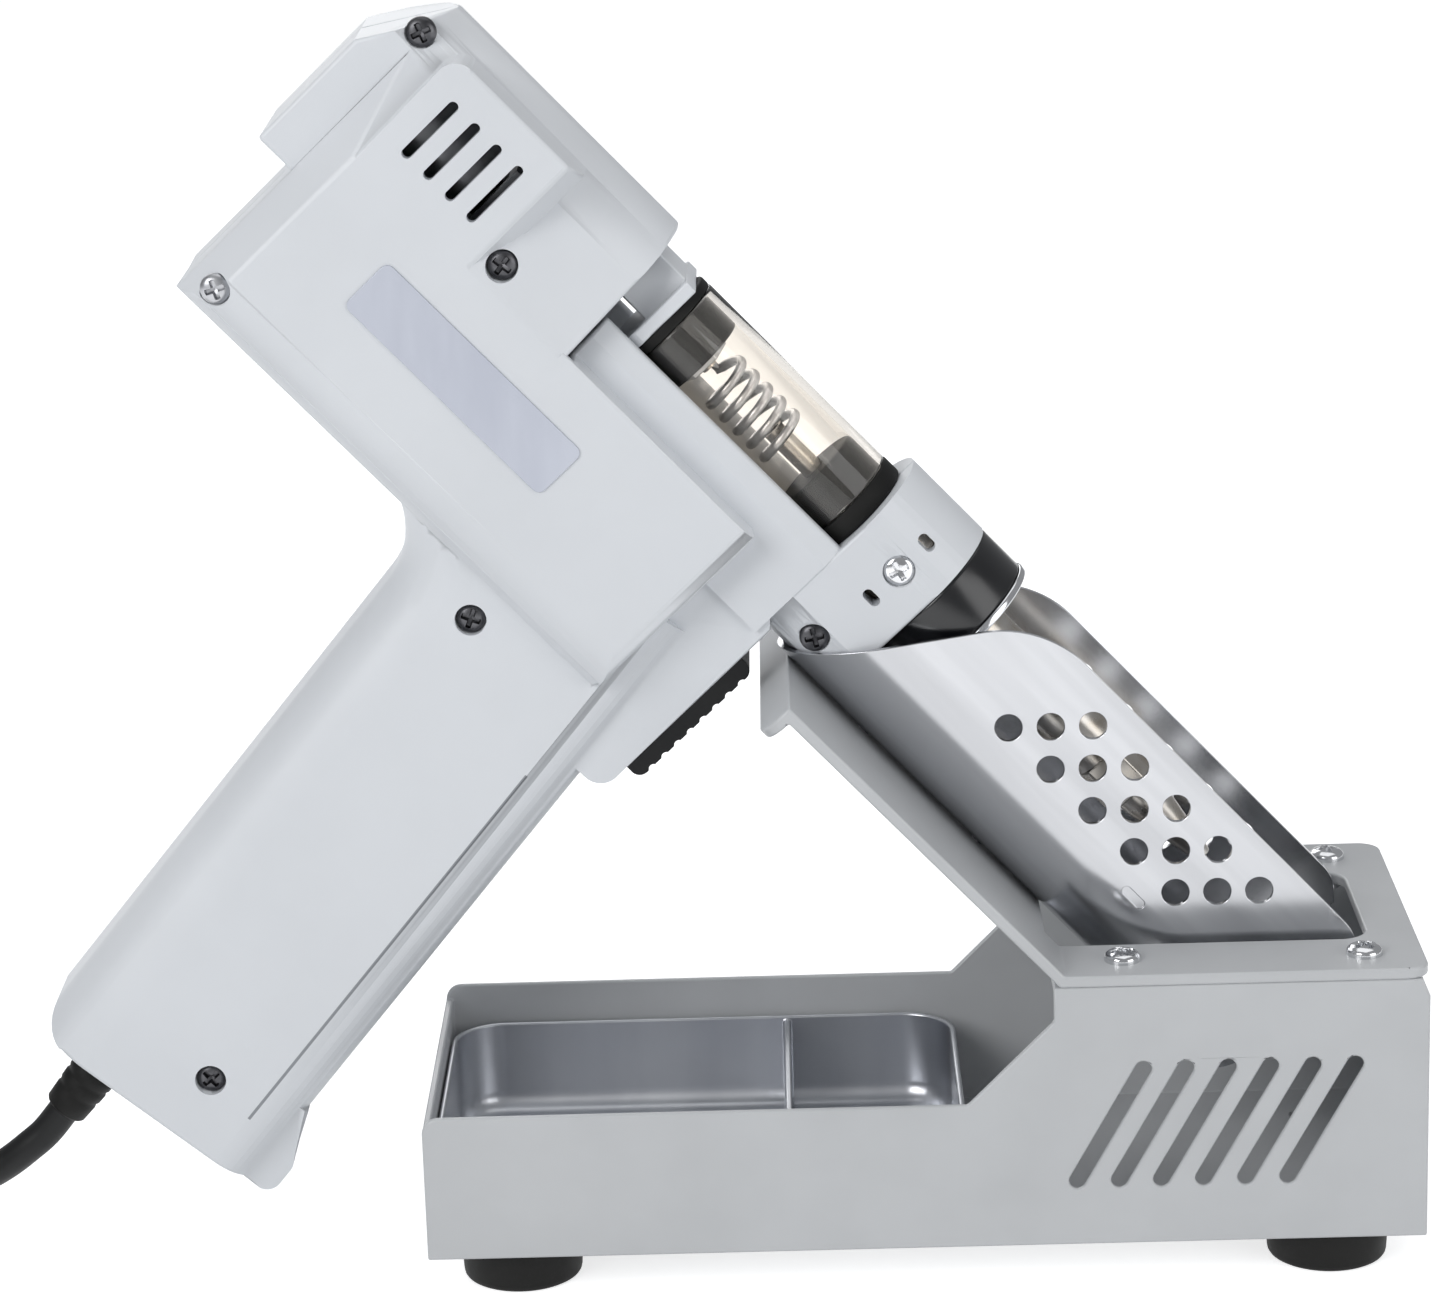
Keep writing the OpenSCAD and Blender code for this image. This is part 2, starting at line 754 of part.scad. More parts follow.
module trough_rivets() color("silver") on_slope() for (p = rivet_p) translate([-p, 0, 0]) {
    top = trough_lift + trough_t + rivet_sag;
    rod_z(0, 0, -plate_t - rivet_head_h, top, rivet_r);
    rod_z(0, 0, -plate_t - rivet_head_h, -plate_t, rivet_head_r);
    intersection() {
        rod_z(0, 0, top, top + rivet_head_h, rivet_head_r);
        translate([0, 0, top + rivet_head_h - rivet_head_r * 2]) sphere(r = rivet_head_r * 2);
    }
}

// Tray
module tray_blank(l, w, h, corner, low) {
    linear = corner - low;
    translate([0, 0, low]) linear_extrude(h - low) round_rect(0, l, -w / 2, w / 2, corner);
    block(corner, l - corner, -w / 2 + low, w / 2 - low, 0, low);
    block(low, l - low, -w / 2 + corner, w / 2 - corner, 0, low);
    for (y = [-w / 2 + low, w / 2 - low]) translate([0, y, low]) rod_x(corner, l - corner, low);
    for (x = [low, l - low]) rod_y(x, low, -w / 2 + corner, w / 2 - corner, low);
    for (x = [corner, l - corner]) for (y = [-w / 2 + corner, w / 2 - corner]) translate([x, y, 0])
        rotate_extrude() {
            rect(0, linear, 0, low);
            intersection() {
                translate([linear, low]) circle(low);
                rect(0, corner, 0, low);
            }
        }
}
module solder_tray() color("lightgray") on_stand() translate([tray_x, 0, floor_z]) {
    difference() {
        tray_blank(tray_l, tray_w, tray_h, tray_corner_r, tray_floor_r);
        translate([tray_t, 0, tray_t]) tray_blank(tray_l - 2 * tray_t, tray_w - 2 * tray_t, tray_h,
            tray_corner_r - tray_t, tray_floor_r - tray_t);
    }
    intersection() {
        block(divider_x, divider_x + divider_t, -tray_w / 2 + tray_t / 2, tray_w / 2 - tray_t / 2,
            tray_t / 2, tray_h - divider_drop);
        translate([tray_t / 2, 0, tray_t / 2]) tray_blank(tray_l - tray_t, tray_w - tray_t, tray_h,
            tray_corner_r - tray_t / 2, tray_floor_r - tray_t / 2);
    }
}

// Housing forms. g is how far a form lies inside the outer skin: zero outside, the wall's thickness inside
module dome_section(g) {
    r = dome_r - g;
    far = norm([half_body - g, flank_foot - dome_drop]);
    lean = acos(r / far) - atan2(flank_foot - dome_drop, half_body - g);
    touch = [r * cos(lean), -dome_drop + r * sin(lean)];
    translate([0, -dome_drop]) circle(r);
    polygon([[half_body - g, -flank_foot], touch, [-touch[0], touch[1]], [-half_body + g, -flank_foot]]);
}
module low_section(g, top) {
    r = body_round - g;
    rect(-half_body + g, half_body - g, -body_drop + body_round, -top);
    rect(-half_body + body_round, half_body - body_round, -body_drop + g, -top);
    for (y = [-1, 1]) translate([y * (half_body - body_round), -body_drop + body_round]) circle(r);
}
module rear_plan(g) {
    polygon([[-dome_a, half_body], [-pod_a + g, half_body], [-back_a + g, rear_flat],
        [-back_a + g, -rear_flat], [-pod_a + g, -half_body], [-dome_a, -half_body]]);
}
module rear_body(g) {
    intersection() {
        along(-back_a + g, -dome_a + g) { dome_section(g); low_section(g, flank_foot); }
        translate([0, 0, -clear_l / 2]) linear_extrude(clear_l) union() {
            rear_plan(g);
            rect(-dome_a - over, -dome_a + over, -half_body, half_body);
        }
    }
}
module vent_pod(g) intersection() {
    across(-half_body + g, half_body - g)
        round_rect(-pod_a + g, -pod_a + pod_l + pod_step + pod_corner_r, -pod_low - pod_corner_r, pod_top - g,
            pod_corner_r - g);
    translate([0, 0, -clear_l / 2]) linear_extrude(clear_l) polygon([[-pod_a, half_body],
        [-pod_a + pod_l - g, half_body], [-pod_a + pod_l + pod_step - g, half_body - pod_flank_in],
        [-pod_a + pod_l + pod_step - g, -half_body + pod_flank_in],
        [-pod_a + pod_l - g, -half_body], [-pod_a, -half_body]]);
}
module tail_form(g) intersection() {
    along(-tail_a + g, -back_a + tail_l) {
        translate([0, -dome_drop]) circle(dome_r - g);
        rect(-half_tail + g, half_tail - g, -tail_low + g, -dome_drop);
    }
    block(-clear_l, clear_l, -half_tail + g, half_tail - g, -clear_l, clear_l);
}
module front_box(g) intersection() {
    along(-dome_a - over, -box_front - g) low_section(g, box_drop + g);
    translate([0, 0, -clear_l / 2]) linear_extrude(clear_l)
        round_rect(-dome_a - box_corner_r - over, -box_front - g, -half_body + g, half_body - g, box_corner_r);
}
module rail_form(g) along(-dome_a - over, -cradle_a - g) {
    half = rail_w / 2 - g;
    polygon([[-half, -nose_drop + g], [half, -nose_drop + g], [half, -rail_drop], [half - rim_in, -rim_drop - g],
        [-half + rim_in, -rim_drop - g], [-half, -rail_drop]]);
}
module nose_section() {
    intersection() {
        translate([0, -seat_drop]) circle(seat_r);
        rect(-nose_r, nose_r, -nose_drop - over, -seat_drop);
    }
    rect(-nose_r, nose_r, -seat_drop, 0);
}
module nose_form() {
    rod_x(-cradle_a, -nose_a, nose_r);
    along(-cradle_a, -nose_a) nose_section();
}
module guard_form(g) {
    low = body_drop + guard_h;
    across(-guard_w / 2 + g, guard_w / 2 - g)
        round_rect(-box_front - guard_round * 2, -guard_a - g, -low + g, -nose_drop + guard_round,
            guard_round - g);
    across(-guard_w / 2 + g, guard_w / 2 - g)
        rect(-box_front - guard_round * 2, -guard_a - g, -nose_drop - guard_round, -nose_drop + over * 2 - g);
}
module grip_section(g) {
    back = -grip_back + g;
    front = -grip_front - g;
    half = half_grip - g;
    rb = grip_back_r - g;
    rf = grip_front_r - g;
    rect(back + rb, front - rf, -half, half);
    rect(back, back + rb, -half + rb, half - rb);
    rect(front - rf, front, -half + rf, half - rf);
    for (y = [-1, 1]) {
        translate([back + rb, y * (half - rb)]) circle(rb);
        translate([front - rf, y * (half - rf)]) circle(rf);
    }
}
module toe_outline(g) {
    front = -grip_front + toe_out - g;
    low = -grip_reach + g;
    high = low + toe_r + toe_h;
    polygon(concat([[-grip_front - grip_front_r, low], [front - toe_r, low]],
        arc(front - toe_r, low + toe_r, toe_r, -90, 0, 6),
        arc(front - toe_r, high, toe_r, 0, 45, 4),
        [[-grip_front - g, high + toe_rise], [-grip_front - grip_front_r, high + toe_rise]]));
}
// The grip keeps its whole section up to the fillet's start; above it the fillet's sweep is the back
module grip_form(g) {
    half = half_grip - g;
    low = -grip_reach + g;
    intersection() {
        union() {
            translate([0, 0, low]) linear_extrude(fillet_t - low) grip_section(g);
            translate([0, 0, fillet_t]) linear_extrude(-grip_top - fillet_t) intersection() {
                grip_section(g);
                rect(-grip_back + grip_d / 3, 0, -grip_w, grip_w);
            }
        }
        across(-half_grip, half_grip) difference() {
            rect(-grip_back, -grip_front, low, 0);
            difference() {
                rect(-grip_back + g - over, -grip_back + heel_r, low - over, -grip_reach + heel_r);
                translate([-grip_back + heel_r, -grip_reach + heel_r]) circle(heel_r - g);
            }
        }
    }
    intersection() {
        across(-half + toe_r, half - toe_r) toe_outline(g);
        block(-grip_back, clear_l, -half, half, -clear_l, 0);
    }
}
module back_fillet(g) {
    r = grip_back_r - g;
    half = half_grip - g;
    translate([fillet_s, 0, fillet_t]) rotate([90, 0, 0]) rotate_extrude(angle = 90 - grip_tilt) {
        rect(back_fillet_r + g + r, back_fillet_r + grip_d / 2, -half, half);
        rect(back_fillet_r + g, back_fillet_r + g + r, -half + r, half - r);
        for (y = [-1, 1]) translate([back_fillet_r + g + r, y * (half - r)]) circle(r);
    }
}
module slope_cut(g) translate([-back_a + slope_run - tail_l, 0, dome_top]) rotate([0, -slope_angle, 0])
    block(-clear_l, clear_l, -clear_l / 2, clear_l / 2, -g, clear_l);
module outer_form() difference() {
    union() {
        rear_body(0);
        vent_pod(0);
        tail_form(0);
        front_box(0);
        rail_form(0);
        nose_form();
        guard_form(0);
        rotate([0, -grip_tilt, 0]) { grip_form(0); back_fillet(0); }
    }
    slope_cut(0);
}
module inner_form() difference() {
    union() {
        rear_body(wall);
        vent_pod(wall);
        tail_form(wall);
        front_box(wall);
        difference() {
            rail_form(wall);
            rod_x(-dome_a - over * 2, -cradle_a + over, cradle_r + wall);
        }
        guard_form(wall);
        rotate([0, -grip_tilt, 0]) { grip_form(wall); back_fillet(wall); }
    }
    slope_cut(wall);
}
// Case screw places as [distance behind, depth below, half width at the head]
grip_top_at = [-(grip_back - grip_screw_s), -grip_screw_t];
grip_toe_at = [-(grip_front + toe_screw_s), -(grip_reach - toe_screw_up)];
function from_grip(p) =
    [p[0] * cos(grip_tilt) - p[1] * sin(grip_tilt), p[0] * sin(grip_tilt) + p[1] * cos(grip_tilt)];
screw_places = [
    concat([-(tail_a - tail_screw_in), tail_screw_up], half_tail),
    concat([-(back_a - rear_screw_in), -(body_drop - rear_screw_up)], half_body - case_recess),
    concat([-side_screw_a, -side_screw_drop], half_body - case_head_r / 2),
    concat(from_grip(grip_top_at), half_grip),
    concat(from_grip(grip_toe_at), half_grip),
    concat([-(nose_a + nose_boss_in), -nose_boss_drop], nose_r - case_recess)];
function head_seat(p) = p[2] - case_recess - case_head_h;

module bosses() intersection() {
    outer_form();
    union() {
        for (p = screw_places) rod_y(p[0], p[1], -half_body, half_body, boss_r);
    }
}
module shell_cuts() {
    // Cradle of the tube, open at the top
    rod_x(-dome_a, -cradle_a, cradle_r);
    // Bore of the nose for the heater socket, and the hole for the suction pipe
    rod_x(-nose_a - (socket_back - ring_l), -nose_a + over, nose_r - wall);
    rod_x(-cradle_a - over, -nose_a, pipe_r + socket_gap);
    // Window for the retainer's shank, and the hole for the air pipe
    block(-dome_a - wall - over, -dome_a + over, -shank_half - window_gap, shank_half + window_gap,
        shank_low - window_gap, shank_high + window_gap);
    rod_x(-dome_a - wall - over, -dome_a + over, air_r + socket_gap);
    // Passage of the heater leads
    block(-cradle_a - wall - over, -nose_a - socket_floor, -lead_y - lead_r - window_gap,
        lead_y + lead_r + window_gap, lead_low - lead_r - window_gap, lead_high + lead_r + window_gap);
    // Vent slots
    for (k = [0:vent_n - 1]) mirror_y() across(half_body - wall * 2, half_body + over)
        slot_2d(-pod_a + vent_first + k * vent_pitch, -vent_low, -pod_a + vent_first + k * vent_pitch,
            vent_top, vent_w);
    // Slots and screw holes in the nose
    for (b = [-nose_slot_b, nose_slot_b]) mirror_y() across(nose_r / 2, nose_r + over)
        slot_2d(-nose_screw_a - (nose_slot_l - nose_slot_w) / 2, b,
            -nose_screw_a + (nose_slot_l - nose_slot_w) / 2, b, nose_slot_w);
    rod_y(-nose_screw_a, 0, -nose_r - over, nose_r + over, nose_screw_r + foot_hole_gap);
    mirror_y() rod_y(-nose_screw_a, 0, nose_r - nose_screw_head_h, nose_r + over,
        nose_screw_head_r + case_recess_gap);
    // Window of the trigger
    block(-guard_a - wall - over, -guard_a + over, -trigger_w / 2 - trigger_gap, trigger_w / 2 + trigger_gap,
        -trigger_top - trigger_h - trigger_gap, -trigger_top + trigger_gap);
    // Mouth for the cord's sleeve
    rotate([0, -grip_tilt, 0]) rod_z(-sleeve_s, 0, -grip_reach - over, -grip_reach + wall + over,
        sleeve_r + sleeve_gap);
    // Case screws
    for (p = screw_places) {
        rod_y(p[0], p[1], -half_body - over, -head_seat(p), case_head_r + case_recess_gap);
        rod_y(p[0], p[1], -half_body, case_screw_l - head_seat(p) + over, case_screw_r + run_gap);
    }
}
module case_halves() difference() {
    union() {
        difference() { outer_form(); inner_form(); }
        bosses();
    }
    shell_cuts();
}
module shell_right() color("white") on_gun() intersection() {
    case_halves();
    block(-clear_l, clear_l, -clear_l, 0, -clear_l, clear_l);
}
module shell_left() color("white") on_gun() union() {
    intersection() {
        case_halves();
        block(-clear_l, clear_l, 0, clear_l, -clear_l, clear_l);
    }
    // Posts of the board, pegs of the switch and posts of the cord clamp
    intersection() {
        outer_form();
        union() {
            for (a = [board_a - post_in, board_a - board_l + post_in])
                for (b = [board_top + post_in, board_top + board_h - post_in])
                    rod_y(-a, -b, board_y + board_t, half_body, post_r);
            for (b = [stem_b - switch_h / 3, stem_b + switch_h / 3])
                rod_y(-switch_a - switch_l / 2, -b, switch_w / 2, half_body, switch_pin_boss);
        }
    }
    for (b = [stem_b - switch_h / 3, stem_b + switch_h / 3])
        rod_y(-switch_a - switch_l / 2, -b, -switch_w / 2, switch_w / 2 + over, switch_pin_r);
    rotate([0, -grip_tilt, 0]) difference() {
        for (s = [-1, 1]) rod_y(-sleeve_s + s * (clamp_l / 2 - clamp_screw_in), -clamp_t - clamp_h / 2,
            -cord_r, half_grip - wall / 2, clamp_post_r);
        for (s = [-1, 1]) rod_y(-sleeve_s + s * (clamp_l / 2 - clamp_screw_in), -clamp_t - clamp_h / 2,
            -cord_r - over, cord_r, clamp_screw_r + run_gap);
    }
}
module case_screws() color("dimgray") on_gun() for (p = screw_places)
    translate([p[0], -head_seat(p), p[1]]) rotate([90, 0, 0])
        cross_screw(case_head_r, case_head_h, case_screw_r, case_screw_l - case_recess);
module nose_screws() color("silver") on_gun() mirror_y()
    translate([-nose_screw_a, -nose_r + nose_screw_head_h, 0]) rotate([90, 0, 0])
        cross_screw(nose_screw_head_r, nose_screw_head_h, nose_screw_r, wall + socket_gap);
module label_plate() color("silver") on_gun() across(-half_body - label_t, -half_body)
    round_rect(-back_a + label_back, -back_a + label_back + label_l, -label_low, -label_low + label_h, label_r);

// Heater and suction line
module heat_ring() color("dimgray") on_gun() difference() {
    rod_x(-nose_a, -ring_a, heat_ring_r);
    rod_x(-nose_a - over, -ring_a + over, socket_r + heat_ring_bore_gap);
}
module heater_flange() color("silver") on_gun() difference() {
    rod_x(-ring_a, 0, flange_r);
    rod_x(-ring_a - over, over, barrel_r + flange_bore_gap);
}
module heater_socket() color("linen") on_gun() difference() {
    rod_x(-ring_a - socket_back, -ring_a, socket_r);
    rod_x(-ring_a - socket_back + socket_floor, over, socket_r - wall);
    rod_x(-ring_a - socket_back - over, over, pipe_r + run_gap);
    rod_y(-nose_screw_a, 0, -nose_r, nose_r, nose_screw_r + run_gap);
    mirror_y() translate([0, lead_y, lead_high]) rod_x(-clear_l, -nose_a, lead_r + run_gap);
}
module heater_barrel() color("silver") on_gun() difference() {
    rod_x(-ring_a - socket_back + socket_floor, barrel_l, barrel_r);
    rod_x(-ring_a - socket_back + socket_floor - over, barrel_l + over, barrel_r - barrel_wall);
}
module heater_core() color("ivory") on_gun() difference() {
    rod_x(-ring_a, barrel_l - core_in, barrel_r - barrel_wall - core_gap);
    rod_x(-ring_a - over, barrel_l, pipe_r + core_gap);
}
module barrel_nut() color("dimgray") on_gun() difference() {
    rotate([0, 90, 0]) translate([0, 0, barrel_l]) cylinder(r = nut_r, h = nut_l, $fn = 6);
    rod_x(barrel_l - over, barrel_l + nut_l + over, pipe_r + run_gap);
}
module nozzle() color("silver") on_gun() translate([barrel_l + nut_l, 0, 0]) rotate([0, 90, 0])
    difference() {
        rotate_extrude() polygon([[0, 0], [nozzle_base_r, 0], [nozzle_base_r, nozzle_collar_l],
            [nozzle_tip_r, nozzle_l], [0, nozzle_l]]);
        rod_z(0, 0, -over, nozzle_l + over, nozzle_bore);
    }
module suction_pipe() color("silver") on_gun() difference() {
    rod_x(-tube_a - front_plug_l - pipe_into_tube, barrel_l + nut_l, pipe_r);
    rod_x(-tube_a - front_plug_l - pipe_into_tube - over, barrel_l + nut_l + over, pipe_bore);
}
module front_seal() color("dimgray") on_gun() difference() {
    union() {
        rod_x(-tube_a, -cradle_a, tube_r + seal_over);
        rod_x(-tube_a - front_plug_l, -tube_a, tube_r - tube_wall - plug_gap);
    }
    rod_x(-clear_l, over, pipe_r + run_gap);
}
module glass_tube() color("wheat", 0.5) on_gun() difference() {
    rod_x(-tube_end, -tube_a, tube_r);
    rod_x(-tube_end - over, -tube_a + over, tube_r - tube_wall);
}
module rear_seal() color("dimgray") on_gun() difference() {
    union() {
        rod_x(-seal_end, -tube_end, tube_r - seal_over);
        rod_x(-tube_end, -tube_end + rear_plug_l, tube_r - tube_wall - plug_gap);
    }
    rod_x(-clear_l, over, air_r + run_gap);
}
module hex_nut() color("silver") on_gun() difference() {
    translate([-tube_end + rear_plug_l, 0, 0]) rotate([0, 90, 0]) cylinder(r = hex_r, h = hex_t, $fn = 6);
    rod_x(-clear_l, over, air_r + run_gap);
}
baffle_start = -tube_end + rear_plug_l + hex_t;
baffle_path = concat([[baffle_start, baffle_r, 0], [baffle_start + baffle_pitch / 2, baffle_r, 0]],
    winding(baffle_start + baffle_pitch, baffle_pitch, baffle_r, baffle_loops, baffle_rings));
module baffle_coil() color("silver") on_gun() tube_along(baffle_path, coil_wire_r, wire_sides, winding_up);
module tube_retainer() color("white") on_gun() difference() {
    union() {
        intersection() {
            rod_x(-retainer_a, -seal_end, tube_r + seal_over);
            block(-clear_l, 0, -retainer_half, retainer_half, -clear_l, 0);
        }
        block(-retainer_a, -seal_end, -retainer_half, retainer_half, 0, retainer_top);
        block(-retainer_a - shank_l, -retainer_a, -shank_half, shank_half, shank_low, shank_high);
        block(-retainer_a - retainer_travel, -retainer_a, -shank_half, -shank_half + guide_r, -guide_r, shank_low);
    }
    rod_x(-clear_l, over, air_r + run_gap);
}
retainer_spring_room = motor_front - frame_t - retainer_a - shank_l - retainer_travel - spring_wire_r * 2 - seat_gap;
retainer_spring_path = winding(-motor_front + frame_t + spring_wire_r, retainer_spring_room / spring_loops,
    spring_r, spring_loops, spring_rings);
module retainer_spring() color("silver") on_gun() translate([0, 0, spring_b])
    tube_along(retainer_spring_path, spring_wire_r, wire_sides, winding_up);
module air_pipe() color("silver") on_gun() difference() {
    rod_x(-dome_a - air_back, -tube_end + rear_plug_l + hex_t + air_past_nut, air_r);
    rod_x(-clear_l, over, air_bore);
}
module hose_shape(r) {
    bend_a = -nipple_a + hose_bend_r;
    rod_x(bend_a, -dome_a - air_back + hose_lap, r);
    translate([bend_a, 0, -hose_bend_r]) rotate([90, 0, 0]) rotate([0, 0, 90])
        rotate_extrude(angle = 90) translate([hose_bend_r, 0]) circle(r);
    rod_z(-nipple_a, 0, -nipple_drop, -hose_bend_r, r);
}
module suction_hose() color("dimgray") on_gun() difference() {
    hose_shape(hose_r);
    hose_shape(hose_bore);
    rod_x(-dome_a - air_back, 0, air_r + run_gap);
    rod_z(-nipple_a, 0, -nipple_drop - over, -nipple_drop + over, hose_bore);
}

// Motor and pump
module motor_can() color("silver") on_gun() translate([0, 0, -motor_drop]) difference() {
    union() {
        rod_x(-motor_front - motor_l, -motor_front, motor_r);
        rod_x(-motor_front, -motor_front + frame_t - run_gap, motor_neck_r);
    }
    rod_x(-clear_l, 0, shaft_r + run_gap);
}
module motor_cap() color("dimgray") on_gun() translate([0, 0, -motor_drop]) difference() {
    rod_x(-motor_front - motor_l - motor_cap_l, -motor_front - motor_l, motor_cap_r);
    rod_x(-motor_front - motor_l - motor_cap_l / 2, 0, shaft_r * 2);
}
module motor_shaft() color("silver") on_gun() translate([0, 0, -motor_drop])
    rod_x(-motor_front - motor_l - motor_cap_l / 2 + seat_gap, -motor_front + shaft_out, shaft_r);
module eccentric() color("goldenrod") on_gun() difference() {
    translate([0, 0, -pump_low]) rod_x(-pump_a - eccentric_t / 2, -pump_a + eccentric_t / 2, eccentric_r);
    translate([0, 0, -motor_drop]) rod_x(-clear_l, 0, shaft_r);
}
module pump_frame() color("gray") on_gun() difference() {
    union() {
        intersection() {
            along(-motor_front, -motor_front + frame_t) {
                dome_section(wall + seat_gap);
                rect(-pump_w / 2, pump_w / 2, -frame_floor - frame_t, 0);
            }
            union() {
                block(-clear_l, 0, -clear_l, clear_l, -frame_floor - frame_t, frame_shoulder);
                block(-clear_l, 0, -frame_tab_half, frame_tab_half, -frame_floor, frame_top);
            }
        }
        block(-pump_a - pump_w / 2, -pump_a + pump_w / 2, -pump_w / 2, pump_w / 2,
            -frame_floor - frame_t, -frame_floor);
    }
    translate([0, 0, -motor_drop]) rod_x(-clear_l, 0, motor_neck_r + run_gap);
    rod_z(-pump_a, 0, -frame_floor - frame_t - over, -frame_floor + over, chamber_r);
    pump_screw_places() rod_z(0, 0, -clear_l, clear_l / 2, pump_screw_r + run_gap);
}
module pump_rod() color("goldenrod") on_gun() translate([-pump_a, 0, -pump_low]) {
    half_y = eccentric_r + eccentric_e + yoke_gap;
    half_b = eccentric_r + pump_stroke + yoke_gap;
    difference() {
        block(-yoke_t / 2, yoke_t / 2, -half_y - yoke_bar, half_y + yoke_bar, -half_b - yoke_bar, half_b + yoke_bar);
        block(-yoke_t, yoke_t, -half_y, half_y, -half_b, half_b);
    }
    rod_z(0, 0, pump_low - membrane_drop + membrane_t / 2, -half_b - yoke_bar / 2, rod_r);
}
module diaphragm() color("dimgray") on_gun() rod_z(-pump_a, 0, -membrane_drop - membrane_t / 2,
    -membrane_drop + membrane_t / 2, membrane_r);
module pump_screw_places() {
    in = pump_w / 2 - pump_screw_in;
    for (x = [-in, in]) for (y = [-in, in]) translate([-pump_a + x, y, 0]) children();
}
module pump_body() color("dimgray") on_gun() difference() {
    top = frame_floor + frame_t;
    union() {
        block(-pump_a - pump_w / 2, -pump_a + pump_w / 2, -pump_w / 2, pump_w / 2, -top - pump_h, -top);
        block(-pump_a, -nipple_a + lug_half, -lug_half, lug_half,
            -nipple_drop - nipple_l - lug_t, -nipple_drop - nipple_l);
        rod_z(-nipple_a, 0, -nipple_drop - nipple_l - over, -nipple_drop + over, nipple_r);
    }
    rod_z(-pump_a, 0, -top - chamber_h, -top + over, chamber_r);
    rod_z(-nipple_a, 0, -nipple_drop - nipple_l - lug_t / 2, 0, air_bore);
    pump_screw_places() rod_z(0, 0, -clear_l, 0, pump_screw_r + run_gap);
}
module pump_head() color("gray") on_gun() difference() {
    low = frame_floor + frame_t + pump_h;
    block(-pump_a - pump_w / 2, -pump_a + pump_w / 2, -pump_w / 2, pump_w / 2, -low - head_t, -low);
    pump_screw_places() rod_z(0, 0, -clear_l, 0, pump_screw_r + run_gap);
}
module pump_screws() color("silver") on_gun() pump_screw_places()
    translate([0, 0, -frame_floor - frame_t - pump_h - head_t]) mirror([0, 0, 1])
        cross_screw(pump_screw_head_r, pump_screw_head_h, pump_screw_r, frame_t + pump_h + head_t);

// Electrical pieces
module circuit_board() color("seagreen") on_gun()
    block(-board_a, -board_a + board_l, board_y, board_y + board_t, -board_top - board_h, -board_top);
module board_parts() color("dimgray") on_gun() {
    for (i = [0:3]) rod_y(-board_a + board_l * place_shares[i], -board_top - board_h * can_drop_share,
        board_y - board_h * tall_shares[i], board_y, board_h * can_r_share);
    for (i = [0:2]) block(-board_a + board_l * place_shares[i],
        -board_a + board_l * (place_shares[i] + chip_l_share), board_y - board_h * chip_t_share, board_y,
        -board_top - board_h * chip_low_share, -board_top - board_h * chip_high_share);
}
module switch_body() color("dimgray") on_gun() difference() {
    block(-switch_a - switch_l, -switch_a, -switch_w / 2, switch_w / 2,
        -stem_b - switch_h / 2, -stem_b + switch_h / 2);
    translate([0, 0, -stem_b]) rod_x(-switch_a - trigger_travel * 2, over, plunger_r + run_gap);
    for (b = [stem_b - switch_h / 3, stem_b + switch_h / 3])
        rod_y(-switch_a - switch_l / 2, -b, -switch_w, switch_w, switch_pin_r + run_gap);
}
module switch_plunger() color("firebrick") on_gun() translate([0, 0, -stem_b])
    rod_x(-switch_a - trigger_travel / 2, -stem_a, plunger_r);
module trigger() color("dimgray") on_gun() difference() {
    low = -trigger_top - trigger_h;
    pitch = trigger_h / rib_n;
    union() {
        across(-trigger_w / 2, trigger_w / 2)
            round_rect(-trigger_in - trigger_corner_r * 2, -guard_a + trigger_out, low, -trigger_top,
                trigger_corner_r);
        block(-trigger_in - trigger_lip_t, -trigger_in, -trigger_w / 2 - trigger_lip, trigger_w / 2 + trigger_lip,
            low - trigger_lip, -trigger_top + trigger_lip);
        translate([0, 0, -stem_b]) rod_x(-stem_a, -trigger_in, stem_r);
    }
    block(-clear_l, -trigger_in - trigger_lip_t, -trigger_w, trigger_w, -stem_b + stem_r, -trigger_top + over);
    block(-clear_l, -trigger_in - trigger_lip_t, -trigger_w, trigger_w, low - over, -stem_b - stem_r);
    block(-clear_l, -trigger_in - trigger_lip_t, stem_r, trigger_w, low, -trigger_top);
    block(-clear_l, -trigger_in - trigger_lip_t, -trigger_w, -stem_r, low, -trigger_top);
    for (k = [0:rib_n]) rod_y(-guard_a + trigger_out + rib_r / 2, low + k * pitch, -trigger_w, trigger_w, rib_r);
}
trigger_spring_room = switch_a - trigger_in - trigger_lip_t - trigger_travel - spring_wire_r * 2 - seat_gap;
trigger_spring_path = winding(-switch_a + spring_wire_r, trigger_spring_room / trigger_spring_loops,
    stem_r * 2, trigger_spring_loops, spring_rings);
module trigger_spring() color("silver") on_gun() translate([0, 0, -stem_b])
    tube_along(trigger_spring_path, spring_wire_r, wire_sides, winding_up);
module heater_leads() color("tan") on_gun() mirror_y() {
    path = [[-nose_a - socket_floor, lead_y, lead_high], [-ring_a - socket_back - lead_r, lead_y, lead_high],
        [-cradle_a, lead_y, lead_low], [-cradle_a - wall, lead_y, lead_low],
        [-box_front, lead_y, lead_low - wall], [-box_front - wall * 2, lead_y, lead_low - wall * 3],
        [-board_a + board_l / 2, lead_y * 2, -board_top],
        [-board_a + board_l / 2, board_y - lead_r, -board_top - lead_r * 2]];
    tube_along(path, lead_r, wire_sides, [0, 1, 0.3]);
}
